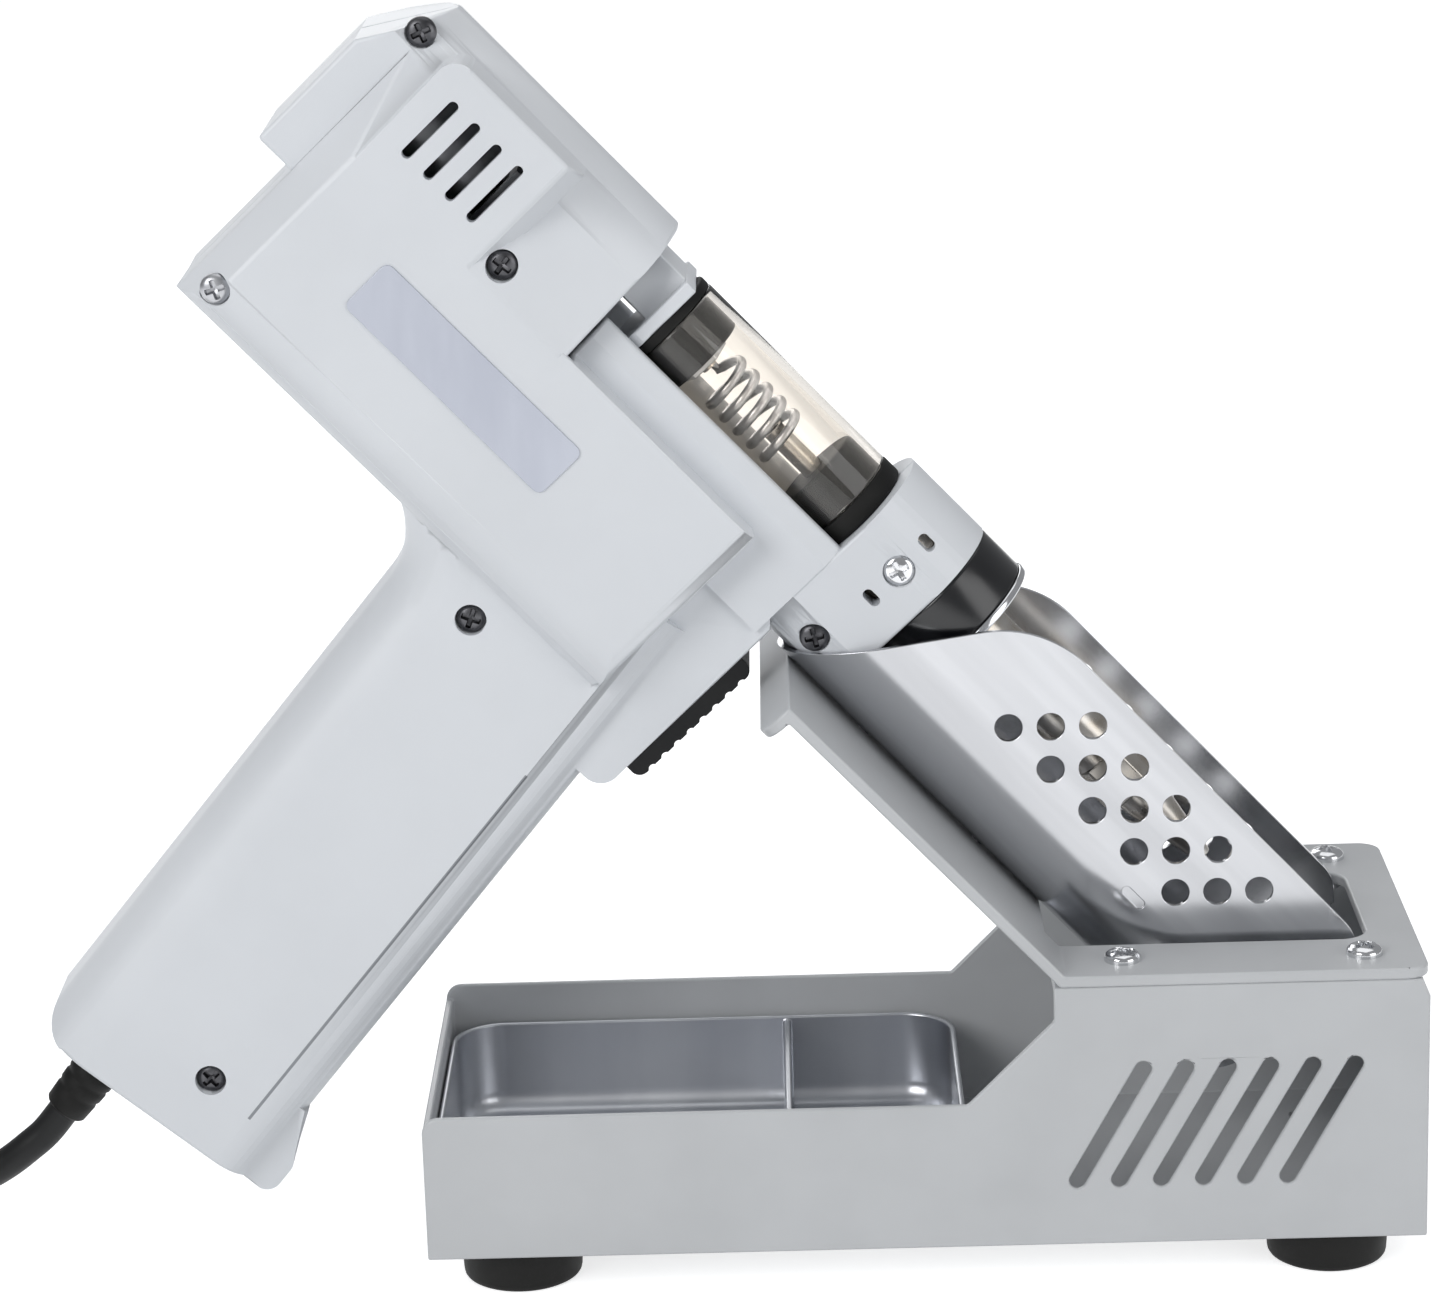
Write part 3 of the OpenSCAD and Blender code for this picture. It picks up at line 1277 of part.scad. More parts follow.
module inner_lead() color("dimgray") on_grip() {
    top = -board_top - board_h - post_in;
    path = [[-sleeve_s, 0, -grip_reach + sleeve_in], [-sleeve_s, 0, -clamp_t], [-sleeve_s, 0, -clamp_t + clamp_h * 2],
        [-sleeve_s + cord_r * 3, 0, -clamp_t * lead_turn_share], [-sleeve_s + cord_r * 3, 0, top]];
    tube_along(path, cord_r, lead_sides, [0, 1, 0]);
}
module cord_clamp() color("dimgray") on_grip() difference() {
    block(-sleeve_s - clamp_l / 2, -sleeve_s + clamp_l / 2, -cord_r - clamp_plate, -cord_r,
        -clamp_t - clamp_h, -clamp_t);
    for (s = [-1, 1]) rod_y(-sleeve_s + s * (clamp_l / 2 - clamp_screw_in), -clamp_t - clamp_h / 2,
        -cord_r - clamp_plate - over, 0, clamp_screw_r + run_gap);
}
module clamp_screws() color("silver") on_grip() for (s = [-1, 1])
    translate([-sleeve_s + s * (clamp_l / 2 - clamp_screw_in), -cord_r - clamp_plate, -clamp_t - clamp_h / 2])
        rotate([90, 0, 0]) cross_screw(clamp_screw_r * 2, clamp_screw_r, clamp_screw_r, clamp_plate + cord_r);
module strain_relief() color("dimgray") on_grip() translate([-sleeve_s, 0, -grip_reach])
    rotate_extrude() polygon([[0, sleeve_in], [sleeve_r, sleeve_in], [sleeve_r, wall + sleeve_gap + sleeve_collar_t],
        [sleeve_collar_r, wall + sleeve_gap + sleeve_collar_t], [sleeve_collar_r, wall + sleeve_gap],
        [sleeve_r, wall + sleeve_gap], [sleeve_r, -sleeve_out / 2], [sleeve_tip_r, -sleeve_out], [0, -sleeve_out]]);

// Mains lead
sleeve_end_a = -sleeve_s * cos(grip_tilt) + (grip_reach + sleeve_out) * sin(grip_tilt);
sleeve_end_b = -sleeve_s * sin(grip_tilt) - (grip_reach + sleeve_out) * cos(grip_tilt);
sleeve_end = [
    stand_x + bend_x + (sleeve_end_a - gun_up) * cos(slope_dip) + (sleeve_end_b + gun_q) * sin(slope_dip), 0,
    plate_top - (sleeve_end_a - gun_up) * sin(slope_dip) + (sleeve_end_b + gun_q) * cos(slope_dip)];
sleeve_way = [-sin(slope_dip - grip_tilt), 0, -cos(slope_dip - grip_tilt)];
coil_start = [coil_x + cord_d, coil_y + coil_r, cord_z];
coil_end = [coil_x - cord_d, coil_y + coil_r, cord_z + coil_rise];
// Turns of the coil: in along the lower layer, up where the spiral turns back, out along the upper one
function coil_point(i) = let (
    turn = i / coil_steps,
    from_middle = turn - coil_turns / 2,
    r = coil_r - coil_pitch * (coil_turns / 2 - abs(from_middle)),
    climb = min(max(from_middle * 2 + 0.5, 0), 1),
    lift = coil_rise * climb * climb * (3 - 2 * climb),
    angle = 90 + 360 * turn)
    [coil_x + r * cos(angle), coil_y + r * sin(angle), cord_z + lift];
coil_path = concat([coil_start], [for (i = [0:coil_turns * coil_steps]) coil_point(i)],
    [coil_end]);
module cord_run() color("dimgray") tube_along(concat([sleeve_end, sleeve_end + sleeve_way * cord_d],
    run_points, [coil_start]), cord_r, cord_sides, [0, 1, 0]);
module cord_coil() color("dimgray") tube_along(coil_path, cord_r, coil_sides, [0, 0, 1]);
module cord_tail() color("dimgray") tube_along(concat([coil_end], tail_points, [plug_at]),
    cord_r, cord_sides, [0, 1, 0]);
plug_at = [plug_x, coil_y + coil_r, plug_thick / 2];
module plug_body() color("dimgray") translate(plug_at) difference() {
    union() {
        rotate([0, -90, 0]) rotate_extrude() polygon([[0, 0], [cord_r + sleeve_gap, 0], [plug_neck_r, plug_neck_l],
            [plug_neck_r, plug_neck_l + plug_round], [0, plug_neck_l + plug_round]]);
        translate([-plug_l, 0, 0]) rotate([90, 0, 90]) linear_extrude(plug_l - plug_neck_l)
            round_rect(-plug_wide / 2, plug_wide / 2, -plug_thick / 2, plug_thick / 2, plug_round);
    }
    for (y = [-1, 1]) block(-plug_l - over, -plug_l + plug_round, y * blade_gap / 2 - blade_t / 2,
        y * blade_gap / 2 + blade_t / 2, -blade_w / 2, blade_w / 2);
}
module plug_blades() color("gold") translate(plug_at) for (y = [-1, 1])
    block(-plug_l - blade_l, -plug_l + plug_round, y * blade_gap / 2 - blade_t / 2,
        y * blade_gap / 2 + blade_t / 2, -blade_w / 2, blade_w / 2);
// Least gap of a wound wire to its own other turns, measured between the points of its centre line
function self_gap(path, rings, r) = min([for (i = [0:len(path) - 1]) for (j = [i + rings:1:len(path) - 1])
    norm(path[i] - path[j])]) - 2 * r;
echo(coil_gap = self_gap(coil_path, coil_steps / 2, cord_r),
    baffle_gap = self_gap(baffle_path, baffle_rings / 2, coil_wire_r),
    retainer_spring_gap = self_gap(retainer_spring_path, spring_rings / 2, spring_wire_r),
    trigger_spring_gap = self_gap(trigger_spring_path, spring_rings / 2, spring_wire_r));
module coil_tie() color("black") translate([coil_x - coil_r - cord_r, coil_y, 0]) {
    out = cord_r + tie_gap;
    long = coil_pitch * (coil_turns / 2 - 0.25) + cord_d + tie_gap * 2;
    high = cord_z + coil_rise + cord_r + tie_gap + tie_t;
    across(-tie_w / 2, tie_w / 2) difference() {
        rect(-tie_gap - tie_t, long + tie_t, 0, high);
        rect(-tie_gap, long, tie_t / 10, high - tie_t);
    }
}

base_box();
top_plate();
plate_screws();
plate_nuts();
trough();
trough_rivets();
solder_tray();
feet();
foot_screws();
shell_right();
shell_left();
case_screws();
nose_screws();
label_plate();
heat_ring();
heater_flange();
heater_socket();
heater_barrel();
heater_core();
barrel_nut();
nozzle();
suction_pipe();
front_seal();
glass_tube();
rear_seal();
hex_nut();
baffle_coil();
tube_retainer();
retainer_spring();
air_pipe();
suction_hose();
motor_can();
motor_cap();
motor_shaft();
eccentric();
pump_frame();
pump_rod();
diaphragm();
pump_body();
pump_head();
pump_screws();
circuit_board();
board_parts();
switch_body();
trigger();
switch_plunger();
trigger_spring();
heater_leads();
inner_lead();
cord_clamp();
clamp_screws();
strain_relief();
cord_run();
cord_coil();
cord_tail();
coil_tie();
plug_body();
plug_blades();
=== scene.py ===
# %% [markdown]
# # A desoldering iron resting on its stand
# The tool is a white plastic suction gun. Its hot nose lies in a bright aluminium trough on a grey sheet-metal
# stand that holds a small solder tray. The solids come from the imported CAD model, the frame. This script keeps
# every solid in its place, gives each one the finish of the real thing, and puts finer surfaces in place of the
# pieces that the camera sees well: sheet metal with rounded edges, moulded shells, screws, glass and the mains lead.
# All sizes below are in millimetres and are turned to metres when a mesh is made.
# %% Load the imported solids
import math

import bmesh
import bpy
import numpy as np
from mathutils import Matrix, Vector


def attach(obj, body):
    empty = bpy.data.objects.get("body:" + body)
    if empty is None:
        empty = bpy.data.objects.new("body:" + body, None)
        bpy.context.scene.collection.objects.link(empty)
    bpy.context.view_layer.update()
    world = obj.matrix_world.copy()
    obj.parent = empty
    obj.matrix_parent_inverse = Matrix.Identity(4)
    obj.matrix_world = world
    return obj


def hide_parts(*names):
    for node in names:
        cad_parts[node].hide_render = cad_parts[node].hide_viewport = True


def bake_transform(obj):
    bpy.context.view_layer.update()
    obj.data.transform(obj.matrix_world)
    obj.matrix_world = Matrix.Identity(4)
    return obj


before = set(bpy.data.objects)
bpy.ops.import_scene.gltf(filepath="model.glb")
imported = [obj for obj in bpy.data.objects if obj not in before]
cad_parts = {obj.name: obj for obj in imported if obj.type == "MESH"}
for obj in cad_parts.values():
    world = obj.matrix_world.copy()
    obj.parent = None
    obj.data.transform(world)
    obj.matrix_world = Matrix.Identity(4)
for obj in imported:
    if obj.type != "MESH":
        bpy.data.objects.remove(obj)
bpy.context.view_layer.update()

MM = 0.001

# %% [markdown]
# ## Camera
# The camera stands where the photographer stood. Its place, direction and lens were worked out from the straight
# edges of the stand in the photograph: a long lens, from a little above the tool, looking down by 16 degrees.
# %% Camera
CAMERA_MM = (11.17, -771.6, 333.2)
YAW, PITCH, ROLL = -0.014861, 0.279508, -0.031229
LENS_MM, SENSOR_MM = 111.0, 36.0


def camera_axes(yaw, pitch, roll):
    """The camera's right, up and forward directions: turned by yaw about the vertical, by pitch below the horizon
    and by roll about its own line of sight."""
    forward = np.array([math.sin(yaw) * math.cos(pitch), math.cos(yaw) * math.cos(pitch), -math.sin(pitch)])
    level = np.array([math.cos(yaw), -math.sin(yaw), 0.0])
    upright = np.cross(level, forward)
    right = math.cos(roll) * level + math.sin(roll) * upright
    up = math.cos(roll) * upright - math.sin(roll) * level
    return right, up, forward


right, up, forward = camera_axes(YAW, PITCH, ROLL)
lens = bpy.data.cameras.new("photo_camera")
lens.lens, lens.sensor_width = LENS_MM, SENSOR_MM
lens.clip_start, lens.clip_end = 0.01, 100
camera = bpy.data.objects.new("photo_camera", lens)
bpy.context.scene.collection.objects.link(camera)
turned = Matrix(np.array([right, up, -forward]).T.tolist()).to_4x4()
camera.matrix_world = Matrix.Translation(Vector(CAMERA_MM) * MM) @ turned
bpy.context.scene.camera = camera
print("camera at", CAMERA_MM, "mm, lens", LENS_MM, "mm")

# %% [markdown]
# ## Helpers for surfaces
# A surface is a grid of points, worked out as whole arrays. Rows run along one parameter and columns along the
# other. A lathe carries a profile round an axis, and a tube carries a circle along a path.
# %% Grids of points
def grid_faces(rows, cols, wrap_rows):
    """Quads between neighbouring points of a grid of rows by columns. The last column joins the first, and with
    wrap_rows the last row does too."""
    r, c = np.meshgrid(np.arange(rows if wrap_rows else rows - 1), np.arange(cols), indexing="ij")
    r2, c2 = (r + 1) % rows, (c + 1) % cols
    return np.stack([r * cols + c, r * cols + c2, r2 * cols + c2, r2 * cols + c], -1).reshape(-1, 4)


def grid(points, wrap_rows=False):
    """Points of shape (rows, columns, 3) as (vertices, faces)."""
    rows, cols = points.shape[:2]
    return points.reshape(-1, 3), grid_faces(rows, cols, wrap_rows)


def mesh_object(name, parts, sharp=40.0):
    """One object from several (vertices in mm, faces) parts. Doubled points are merged, which closes poles and seams,
    and then all faces are turned outwards. Edges sharper than the given angle in degrees stay sharp."""
    offset, vertices, faces = 0, [], []
    for points, quads in parts:
        vertices.append(points)
        faces.append(quads + offset)
        offset += len(points)
    mesh = bpy.data.meshes.new(name)
    mesh.from_pydata((np.vstack(vertices) * MM).tolist(), [], np.vstack(faces).tolist())
    made = bpy.data.objects.new(name, mesh)
    bpy.context.scene.collection.objects.link(made)
    tidy_mesh(mesh, sharp)
    return made


MERGE_M = 2e-7


def tidy_mesh(mesh, sharp):
    """Merge doubles, drop faces with no area, turn the faces outwards and mark the sharp edges."""
    work = bmesh.new()
    work.from_mesh(mesh)
    bmesh.ops.remove_doubles(work, verts=work.verts, dist=MERGE_M)
    bmesh.ops.dissolve_degenerate(work, edges=work.edges, dist=MERGE_M)
    bmesh.ops.recalc_face_normals(work, faces=work.faces)
    work.to_mesh(mesh)
    work.free()
    mesh.shade_smooth()
    mesh.set_sharp_from_angle(angle=math.radians(sharp))


# %% Lathes and tubes
def across_axis(axis):
    """Two unit directions square to an axis and to each other."""
    axis = np.asarray(axis, float) / np.linalg.norm(axis)
    helper = np.array([0.0, 1.0, 0.0]) if abs(axis[1]) < 0.9 else np.array([1.0, 0.0, 0.0])
    first = np.cross(axis, helper)
    first /= np.linalg.norm(first)
    return axis, first, np.cross(axis, first)


def lathe(profile, origin, axis, steps=72, closed=False):
    """A profile of (distance along the axis, radius) carried round the axis: origin + axis * distance + radius *
    (first * cosine + second * sine of the angle)."""
    profile = np.asarray(profile, float)
    axis, first, second = across_axis(axis)
    angle = np.linspace(0, 2 * np.pi, steps, endpoint=False)
    round_way = first * np.cos(angle)[:, None] + second * np.sin(angle)[:, None]
    points = np.asarray(origin, float) + profile[:, None, :1] * axis + profile[:, None, 1:] * round_way
    return grid(points, wrap_rows=closed)


ARC_POINTS, SIDE_SHARE = 5, 0.49


def rounded(corners, radii):
    """A closed outline with each corner turned to an arc: points of a quadratic curve from one tangent point through
    the corner to the other, each tangent point one radius from the corner, or just under half of a short side."""
    corners = np.asarray(corners, float)
    u = np.linspace(0, 1, ARC_POINTS)[:, None]
    out = []
    for i, (here, radius) in enumerate(zip(corners, radii)):
        before, after = corners[i - 1] - here, corners[(i + 1) % len(corners)] - here
        reach = min(radius, np.linalg.norm(before) * SIDE_SHARE, np.linalg.norm(after) * SIDE_SHARE)
        start = here + before / np.linalg.norm(before) * reach
        end = here + after / np.linalg.norm(after) * reach
        out.append(start * (1 - u) ** 2 + here * 2 * u * (1 - u) + end * u ** 2)
    return np.vstack(out)


def smooth_path(points, steps):
    """A smooth curve through points, so many steps between each two: each stretch is the cubic that has the
    direction of the neighbouring points' chord at its ends."""
    p = np.asarray(points, float)
    ends = np.vstack([2 * p[0] - p[1], p, 2 * p[-1] - p[-2]])
    a, b, c, d = ends[:-3], ends[1:-2], ends[2:-1], ends[3:]
    u = np.linspace(0, 1, steps, endpoint=False)[None, :, None]
    a, b, c, d = (q[:, None, :] for q in (a, b, c, d))
    curve = 0.5 * (2 * b + (c - a) * u + (2 * a - 5 * b + 4 * c - d) * u ** 2 + (3 * b - a - 3 * c + d) * u ** 3)
    return np.vstack([curve.reshape(-1, 3), p[-1:]])


def tube(path, radius, sides, side_hint):
    """A circle carried along a path, square to it at each point; side_hint is a direction, or one per point, that is
    never along the path. Both ends are closed by a last ring of no radius."""
    path = np.asarray(path, float)
    ahead = np.gradient(path, axis=0)
    ahead /= np.linalg.norm(ahead, axis=1)[:, None]
    side = np.cross(ahead, np.broadcast_to(side_hint, path.shape))
    side /= np.linalg.norm(side, axis=1)[:, None]
    top = np.cross(side, ahead)
    angle = np.linspace(0, 2 * np.pi, sides, endpoint=False)
    size = np.broadcast_to(np.asarray(radius, float), (len(path),))
    size = np.concatenate([[0.0], size, [0.0]])[:, None, None]
    path, side, top = (np.vstack([q[:1], q, q[-1:]])[:, None, :] for q in (path, side, top))
    points = path + size * (side * np.cos(angle)[None, :, None] + top * np.sin(angle)[None, :, None])
    return grid(points)


def length_of(path):
    """The sum of the distances between neighbouring points."""
    return float(np.linalg.norm(np.diff(path, axis=0), axis=1).sum())


# %% [markdown]
# ## Places on the gun
# The gun is tipped 47 degrees nose down. Its own frame has a along the suction line, forwards, y across and b square
# to the line. The origin is the middle of the bright heater flange's front face.
# %% The gun's frame and the grip's
DIP, GRIP_TILT = math.radians(47.0), math.radians(7.25)
FLANGE_MM = np.array([45.475, 0.0, 115.052])
A = np.array([math.cos(DIP), 0.0, -math.sin(DIP)])
B = np.array([math.sin(DIP), 0.0, math.cos(DIP)])
Y = np.array([0.0, 1.0, 0.0])
GRIP_A = math.cos(GRIP_TILT) * A + math.sin(GRIP_TILT) * B
GRIP_B = math.cos(GRIP_TILT) * B - math.sin(GRIP_TILT) * A


def on_gun(a, y, b):
    """A point, or arrays of points, of the gun's frame in the world, in mm."""
    a, y, b = (np.asarray(q, float)[..., None] for q in (a, y, b))
    return FLANGE_MM + a * A + y * Y + b * B


def on_grip(s, y, t):
    """A point of the grip's frame in the world: the gun's frame turned by the grip's tilt."""
    s, y, t = (np.asarray(q, float)[..., None] for q in (s, y, t))
    return FLANGE_MM + s * GRIP_A + y * Y + t * GRIP_B


sleeve_tip = on_grip(-74, 0, -177.6)
print("sleeve's tip", sleeve_tip.round(2))

# %% [markdown]
# ## The mains lead
# A round black lead leaves the grip's lower end through a sleeve. The photograph shows only its first few
# centimetres, so the rest of its 1.4 m is put away: it falls to the table in one easy curve and goes into a round
# coil of six turns in two layers, tied once, outside the picture. Its plug lies beside the coil. The route repeats
# the points of the solid model. A tube of many sides is carried along it, because a lead is the same thickness
# everywhere.
# %% The free run from the sleeve to the coil
CORD_D = 6.0
RUN_MM = [[-132.5, 0, 18.1], [-136, 0.5, 15.3], [-139.7, 1.3, 12.8], [-143.8, 2.7, 10.5], [-148.2, 4.7, 8.4],
          [-153, 7.2, 6.6], [-158, 10.2, 5.1], [-164.8, 14.9, 3.7], [-171.5, 19.5, 3.2], [-176.7, 22.65, 3.1],
          [-181.7, 24.9, 3.1], [-186.5, 26.3, 3.1], [-191.5, 27, 3.1], [-196, 27, 3.1]]
run_path = smooth_path(np.vstack([[sleeve_tip, sleeve_tip - CORD_D * GRIP_B], RUN_MM]), 4)
run = mesh_object("mains_lead", [tube(run_path, CORD_D / 2, 20, Y)])
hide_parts("cord_run")
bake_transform(run)
print("run", round(length_of(run_path)), "mm")

# %% The coil and the tail that leads to the plug
COIL_X, COIL_Y, COIL_R, COIL_PITCH, COIL_RISE, COIL_TURNS = -202.0, -17.0, 44.0, 6.5, 6.5, 6
LEAD_Z = 3.1


def coil_path(turns, steps):
    """A flat spiral that runs inwards on the table, climbs over half a turn and runs outwards on top of itself: the
    radius shrinks by one pitch a turn to the middle and grows again."""
    turn = np.linspace(0, turns, turns * steps + 1)
    from_middle = turn - turns / 2
    radius = COIL_R - COIL_PITCH * (turns / 2 - np.abs(from_middle))
    climb = np.clip(from_middle * 2 + 0.5, 0, 1)
    angle = np.pi / 2 + 2 * np.pi * turn
    return np.stack([COIL_X + radius * np.cos(angle), COIL_Y + radius * np.sin(angle),
                     LEAD_Z + COIL_RISE * climb ** 2 * (3 - 2 * climb)], -1)


TAIL_MM = [[-208, 27, 9.6], [-211, 27, 9.6], [-215, 27, 9.3], [-218.5, 27, 8.7], [-222, 27, 8], [-225.5, 27, 7.37],
           [-229, 27, 7.02], [-230, 27, 7], [-233, 27, 7]]
coil_line = np.vstack([[[-196, 27, 3.1]], coil_path(COIL_TURNS, 32), smooth_path(TAIL_MM, 4)])
coil = mesh_object("mains_lead_coil", [tube(coil_line, CORD_D / 2, 16, (0, 0, 1))])
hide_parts("cord_coil", "cord_tail")
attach(coil, "stand")
print("coil", round(length_of(coil_line)), "mm")

# %% [markdown]
# The sleeve is a turned profile: a plain tapered stem with three shallow rings near its tip. The plug is a lofted
# body: each cross-section is a superellipse, which goes from the round neck to the flat, round-cornered grip.
# %% Sleeve, plug and tie
SLEEVE = [(8, 0), (8, 4.65), (-2.2, 4.65), (-2.4, 4.65), (-3.6, 4.65), (-4.0, 4.35), (-4.6, 4.35), (-5.0, 4.62),
          (-6.6, 4.58), (-7.0, 4.28), (-7.6, 4.28), (-8.0, 4.5), (-9.6, 4.42), (-10.0, 4.15), (-10.6, 4.15),
          (-11.0, 4.3), (-14.2, 4.12), (-14.6, 3.8), (-14.6, 0)]
COLLAR = [(2.35, 4.6), (4.35, 4.6), (4.35, 6.0), (2.35, 6.0)]
sleeve_top = on_grip(-74, 0, -163)
sleeve = mesh_object("cord_sleeve", [lathe(SLEEVE, sleeve_top, GRIP_B, 48),
                                     lathe(COLLAR, sleeve_top, GRIP_B, 48, closed=True)], 60)
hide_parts("strain_relief")
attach(sleeve, "gun")


def loft(stations, origin, sides=64):
    """Cross-sections along minus X: each station is (distance, half width in Y, half height in Z, power), and its
    outline is the superellipse |y / half width| ^ power + |z / half height| ^ power = 1."""
    d, wide, high, power = (np.asarray(q, float)[:, None] for q in np.asarray(stations, float).T)
    angle = np.linspace(0, 2 * np.pi, sides, endpoint=False)[None, :]
    c, s = np.cos(angle), np.sin(angle)
    y = wide * np.sign(c) * np.abs(c) ** (2 / power)
    z = high * np.sign(s) * np.abs(s) ** (2 / power)
    return grid(np.asarray(origin, float) + np.stack([-d + 0 * y, y, z], -1))


PLUG = [(0, 0, 0, 2), (0, 3.15, 3.15, 2), (1.4, 3.4, 3.4, 2), (2, 3.0, 3.0, 2), (2.8, 3.0, 3.0, 2), (3.4, 3.6, 3.6, 2),
        (4.6, 3.7, 3.7, 2), (5.2, 3.3, 3.3, 2), (6, 3.3, 3.3, 2), (6.6, 3.9, 3.9, 2), (9, 4.2, 4.1, 2.2),
        (10.2, 7, 5.2, 2.8), (11.6, 9.6, 6.3, 3.4), (13.5, 10.8, 6.9, 4), (18, 11, 7, 4.4), (24, 11, 7, 4.6),
        (27, 10.9, 6.9, 4.6), (27.8, 10.5, 6.5, 4.6), (28, 10, 6, 4.6), (28, 0, 0, 4.6)]
plug = mesh_object("mains_plug", [loft(PLUG, (-233, 27, 7))], 50)
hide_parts("plug_body")
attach(plug, "stand")

TIE_OUT = np.array([[-0.9, 0.1], [24.4, 0.1], [25.2, 0.9], [25.2, 12.9], [24.4, 13.8], [-0.9, 13.8], [-1.3, 12.9],
                    [-1.3, 0.9]])
TIE_IN = np.array([[-0.4, 0.3], [24.3, 0.3], [24.6, 0.9], [24.6, 12.9], [24.3, 13.1], [-0.4, 13.1], [-0.5, 12.9],
                   [-0.5, 0.9]])
TIE_X, TIE_HALF = -249, 2.5
TIE_RINGS = ((TIE_OUT, -TIE_HALF), (TIE_OUT, TIE_HALF), (TIE_IN, TIE_HALF), (TIE_IN, -TIE_HALF))
band = np.stack([np.stack([outline[:, 0] + TIE_X, np.full(len(outline), y + COIL_Y), outline[:, 1]], -1)
                 for outline, y in TIE_RINGS])
tie = mesh_object("lead_tie", [grid(band, wrap_rows=True)], 30)
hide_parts("coil_tie")
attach(tie, "stand")
print("lead in all", round(length_of(run_path) + length_of(coil_line)), "mm")

# %% [markdown]
# ## Finishes
# Each material is built from shader nodes. The colour is written as a hex value, as a paint chart gives it, and one
# function turns it to the linear values that Blender works with. Patterns read Object coordinates, which are metres
# here, so a grain of so many millimetres is a noise texture with a scale of one over that size.
# %% Colour, nodes and a starting material
def linear(code):
    """An sRGB hex colour as linear light: each channel c becomes ((c + 0.055) / 1.055) ^ 2.4, or c / 12.92 if small."""
    c = np.array([int(code[i:i + 2], 16) for i in (1, 3, 5)]) / 255
    c = np.where(c <= 0.04045, c / 12.92, ((c + 0.055) / 1.055) ** 2.4)
    return (*c.tolist(), 1.0)


def node(tree, kind, inputs=None, **settings):
    """Add one node. Settings are its own properties, and inputs go to its sockets: a value is set, an output socket is
    linked."""
    made = tree.nodes.new(kind)
    for key, value in settings.items():
        setattr(made, key, value)
    for socket, value in (inputs or {}).items():
        if isinstance(value, bpy.types.NodeSocket):
            tree.links.new(value, made.inputs[socket])
        else:
            made.inputs[socket].default_value = value
    return made


def per_mm(size):
    """The scale of a texture whose cells are so many millimetres across."""
    return 1 / (size * MM)


def start_finish(name, code, roughness, metallic=0.0, **sockets):
    """A material with one Principled shader, and its tree, its shader and the Object coordinates."""
    material = bpy.data.materials.new(name)
    material.use_nodes = True
    tree = material.node_tree
    tree.nodes.clear()
    shader = node(tree, "ShaderNodeBsdfPrincipled", {"Base Color": linear(code), "Roughness": roughness,
                                                      "Metallic": metallic})
    for socket, value in sockets.items():
        shader.inputs[socket.replace("_", " ")].default_value = value
    node(tree, "ShaderNodeOutputMaterial", {"Surface": shader.outputs[0]})
    place = node(tree, "ShaderNodeTexCoord").outputs["Object"]
    return material, tree, shader, place


PAINT_LOW, PAINT_HIGH = 0.35, 0.65      # the part of the cloud's range over which the colour changes
ROUGH_LOW, ROUGH_HIGH = 0.3, 0.7        # and the part over which the roughness does


def uneven(tree, shader, place, code_low, code_high, low, high, size, grain, height, stretch=(1, 1, 1)):
    """What every real surface has: a slow cloud that shifts the colour between two hexes and the roughness between two
    values, and a fine grain of so many millimetres that raises the surface by a height in millimetres."""
    along = node(tree, "ShaderNodeMapping", {"Vector": place, "Scale": stretch}).outputs[0]
    cloud = node(tree, "ShaderNodeTexNoise", {"Vector": along, "Scale": per_mm(size), "Detail": 3.0}).outputs["Fac"]
    paint = node(tree, "ShaderNodeValToRGB", {"Fac": cloud})
    paint.color_ramp.elements[0].position, paint.color_ramp.elements[1].position = PAINT_LOW, PAINT_HIGH
    paint.color_ramp.elements[0].color, paint.color_ramp.elements[1].color = linear(code_low), linear(code_high)
    rough = node(tree, "ShaderNodeMapRange", {"Value": cloud, "From Min": ROUGH_LOW, "From Max": ROUGH_HIGH,
                                              "To Min": low, "To Max": high})
    fine = node(tree, "ShaderNodeTexNoise", {"Vector": along, "Scale": per_mm(grain), "Detail": 2.0}).outputs["Fac"]
    bump = node(tree, "ShaderNodeBump", {"Height": fine, "Distance": height * MM, "Strength": 1.0})
    tree.links.new(paint.outputs[0], shader.inputs["Base Color"])
    tree.links.new(rough.outputs[0], shader.inputs["Roughness"])
    tree.links.new(bump.outputs[0], shader.inputs["Normal"])


# %% [markdown]
# White ABS, injection moulded in a lightly textured mould: even, a little cool, with a soft broad highlight. A fine
# grain breaks the highlight up. The grip's front strip is marked by a groove too thin to model, so the groove's shade
# is painted into the colour as a dark grey line: the distance from a plane of the grip's frame, kept to the grip's
# height.
# %% Moulded white ABS
abs_white, tree, shader, place = start_finish("moulded_abs_white", "#DFE2E6", 0.4, IOR=1.53)
uneven(tree, shader, place, "#DDE0E4", "#E1E4E8", 0.37, 0.43, 30, 0.45, 0.006)
# Painted shade: a thin dark grey line (#8F9297) along the strip's groove stands for the shade inside it.
STRIP_S, STRIP_HALF, STRIP_TOP, STRIP_FOOT = -48.1, 0.28, -68, -152
from_strip = node(tree, "ShaderNodeVectorMath", {0: place, 1: tuple(GRIP_A)}, operation="DOT_PRODUCT").outputs["Value"]
up_grip = node(tree, "ShaderNodeVectorMath", {0: place, 1: tuple(GRIP_B)}, operation="DOT_PRODUCT").outputs["Value"]
strip_at = float((FLANGE_MM @ GRIP_A + STRIP_S) * MM)
grip_top, grip_foot = (float((FLANGE_MM @ GRIP_B + end) * MM) for end in (STRIP_TOP, STRIP_FOOT))
near = node(tree, "ShaderNodeMath", {0: from_strip, 1: strip_at, 2: STRIP_HALF * MM}, operation="COMPARE").outputs[0]
below = node(tree, "ShaderNodeMath", {0: up_grip, 1: grip_top}, operation="LESS_THAN").outputs[0]
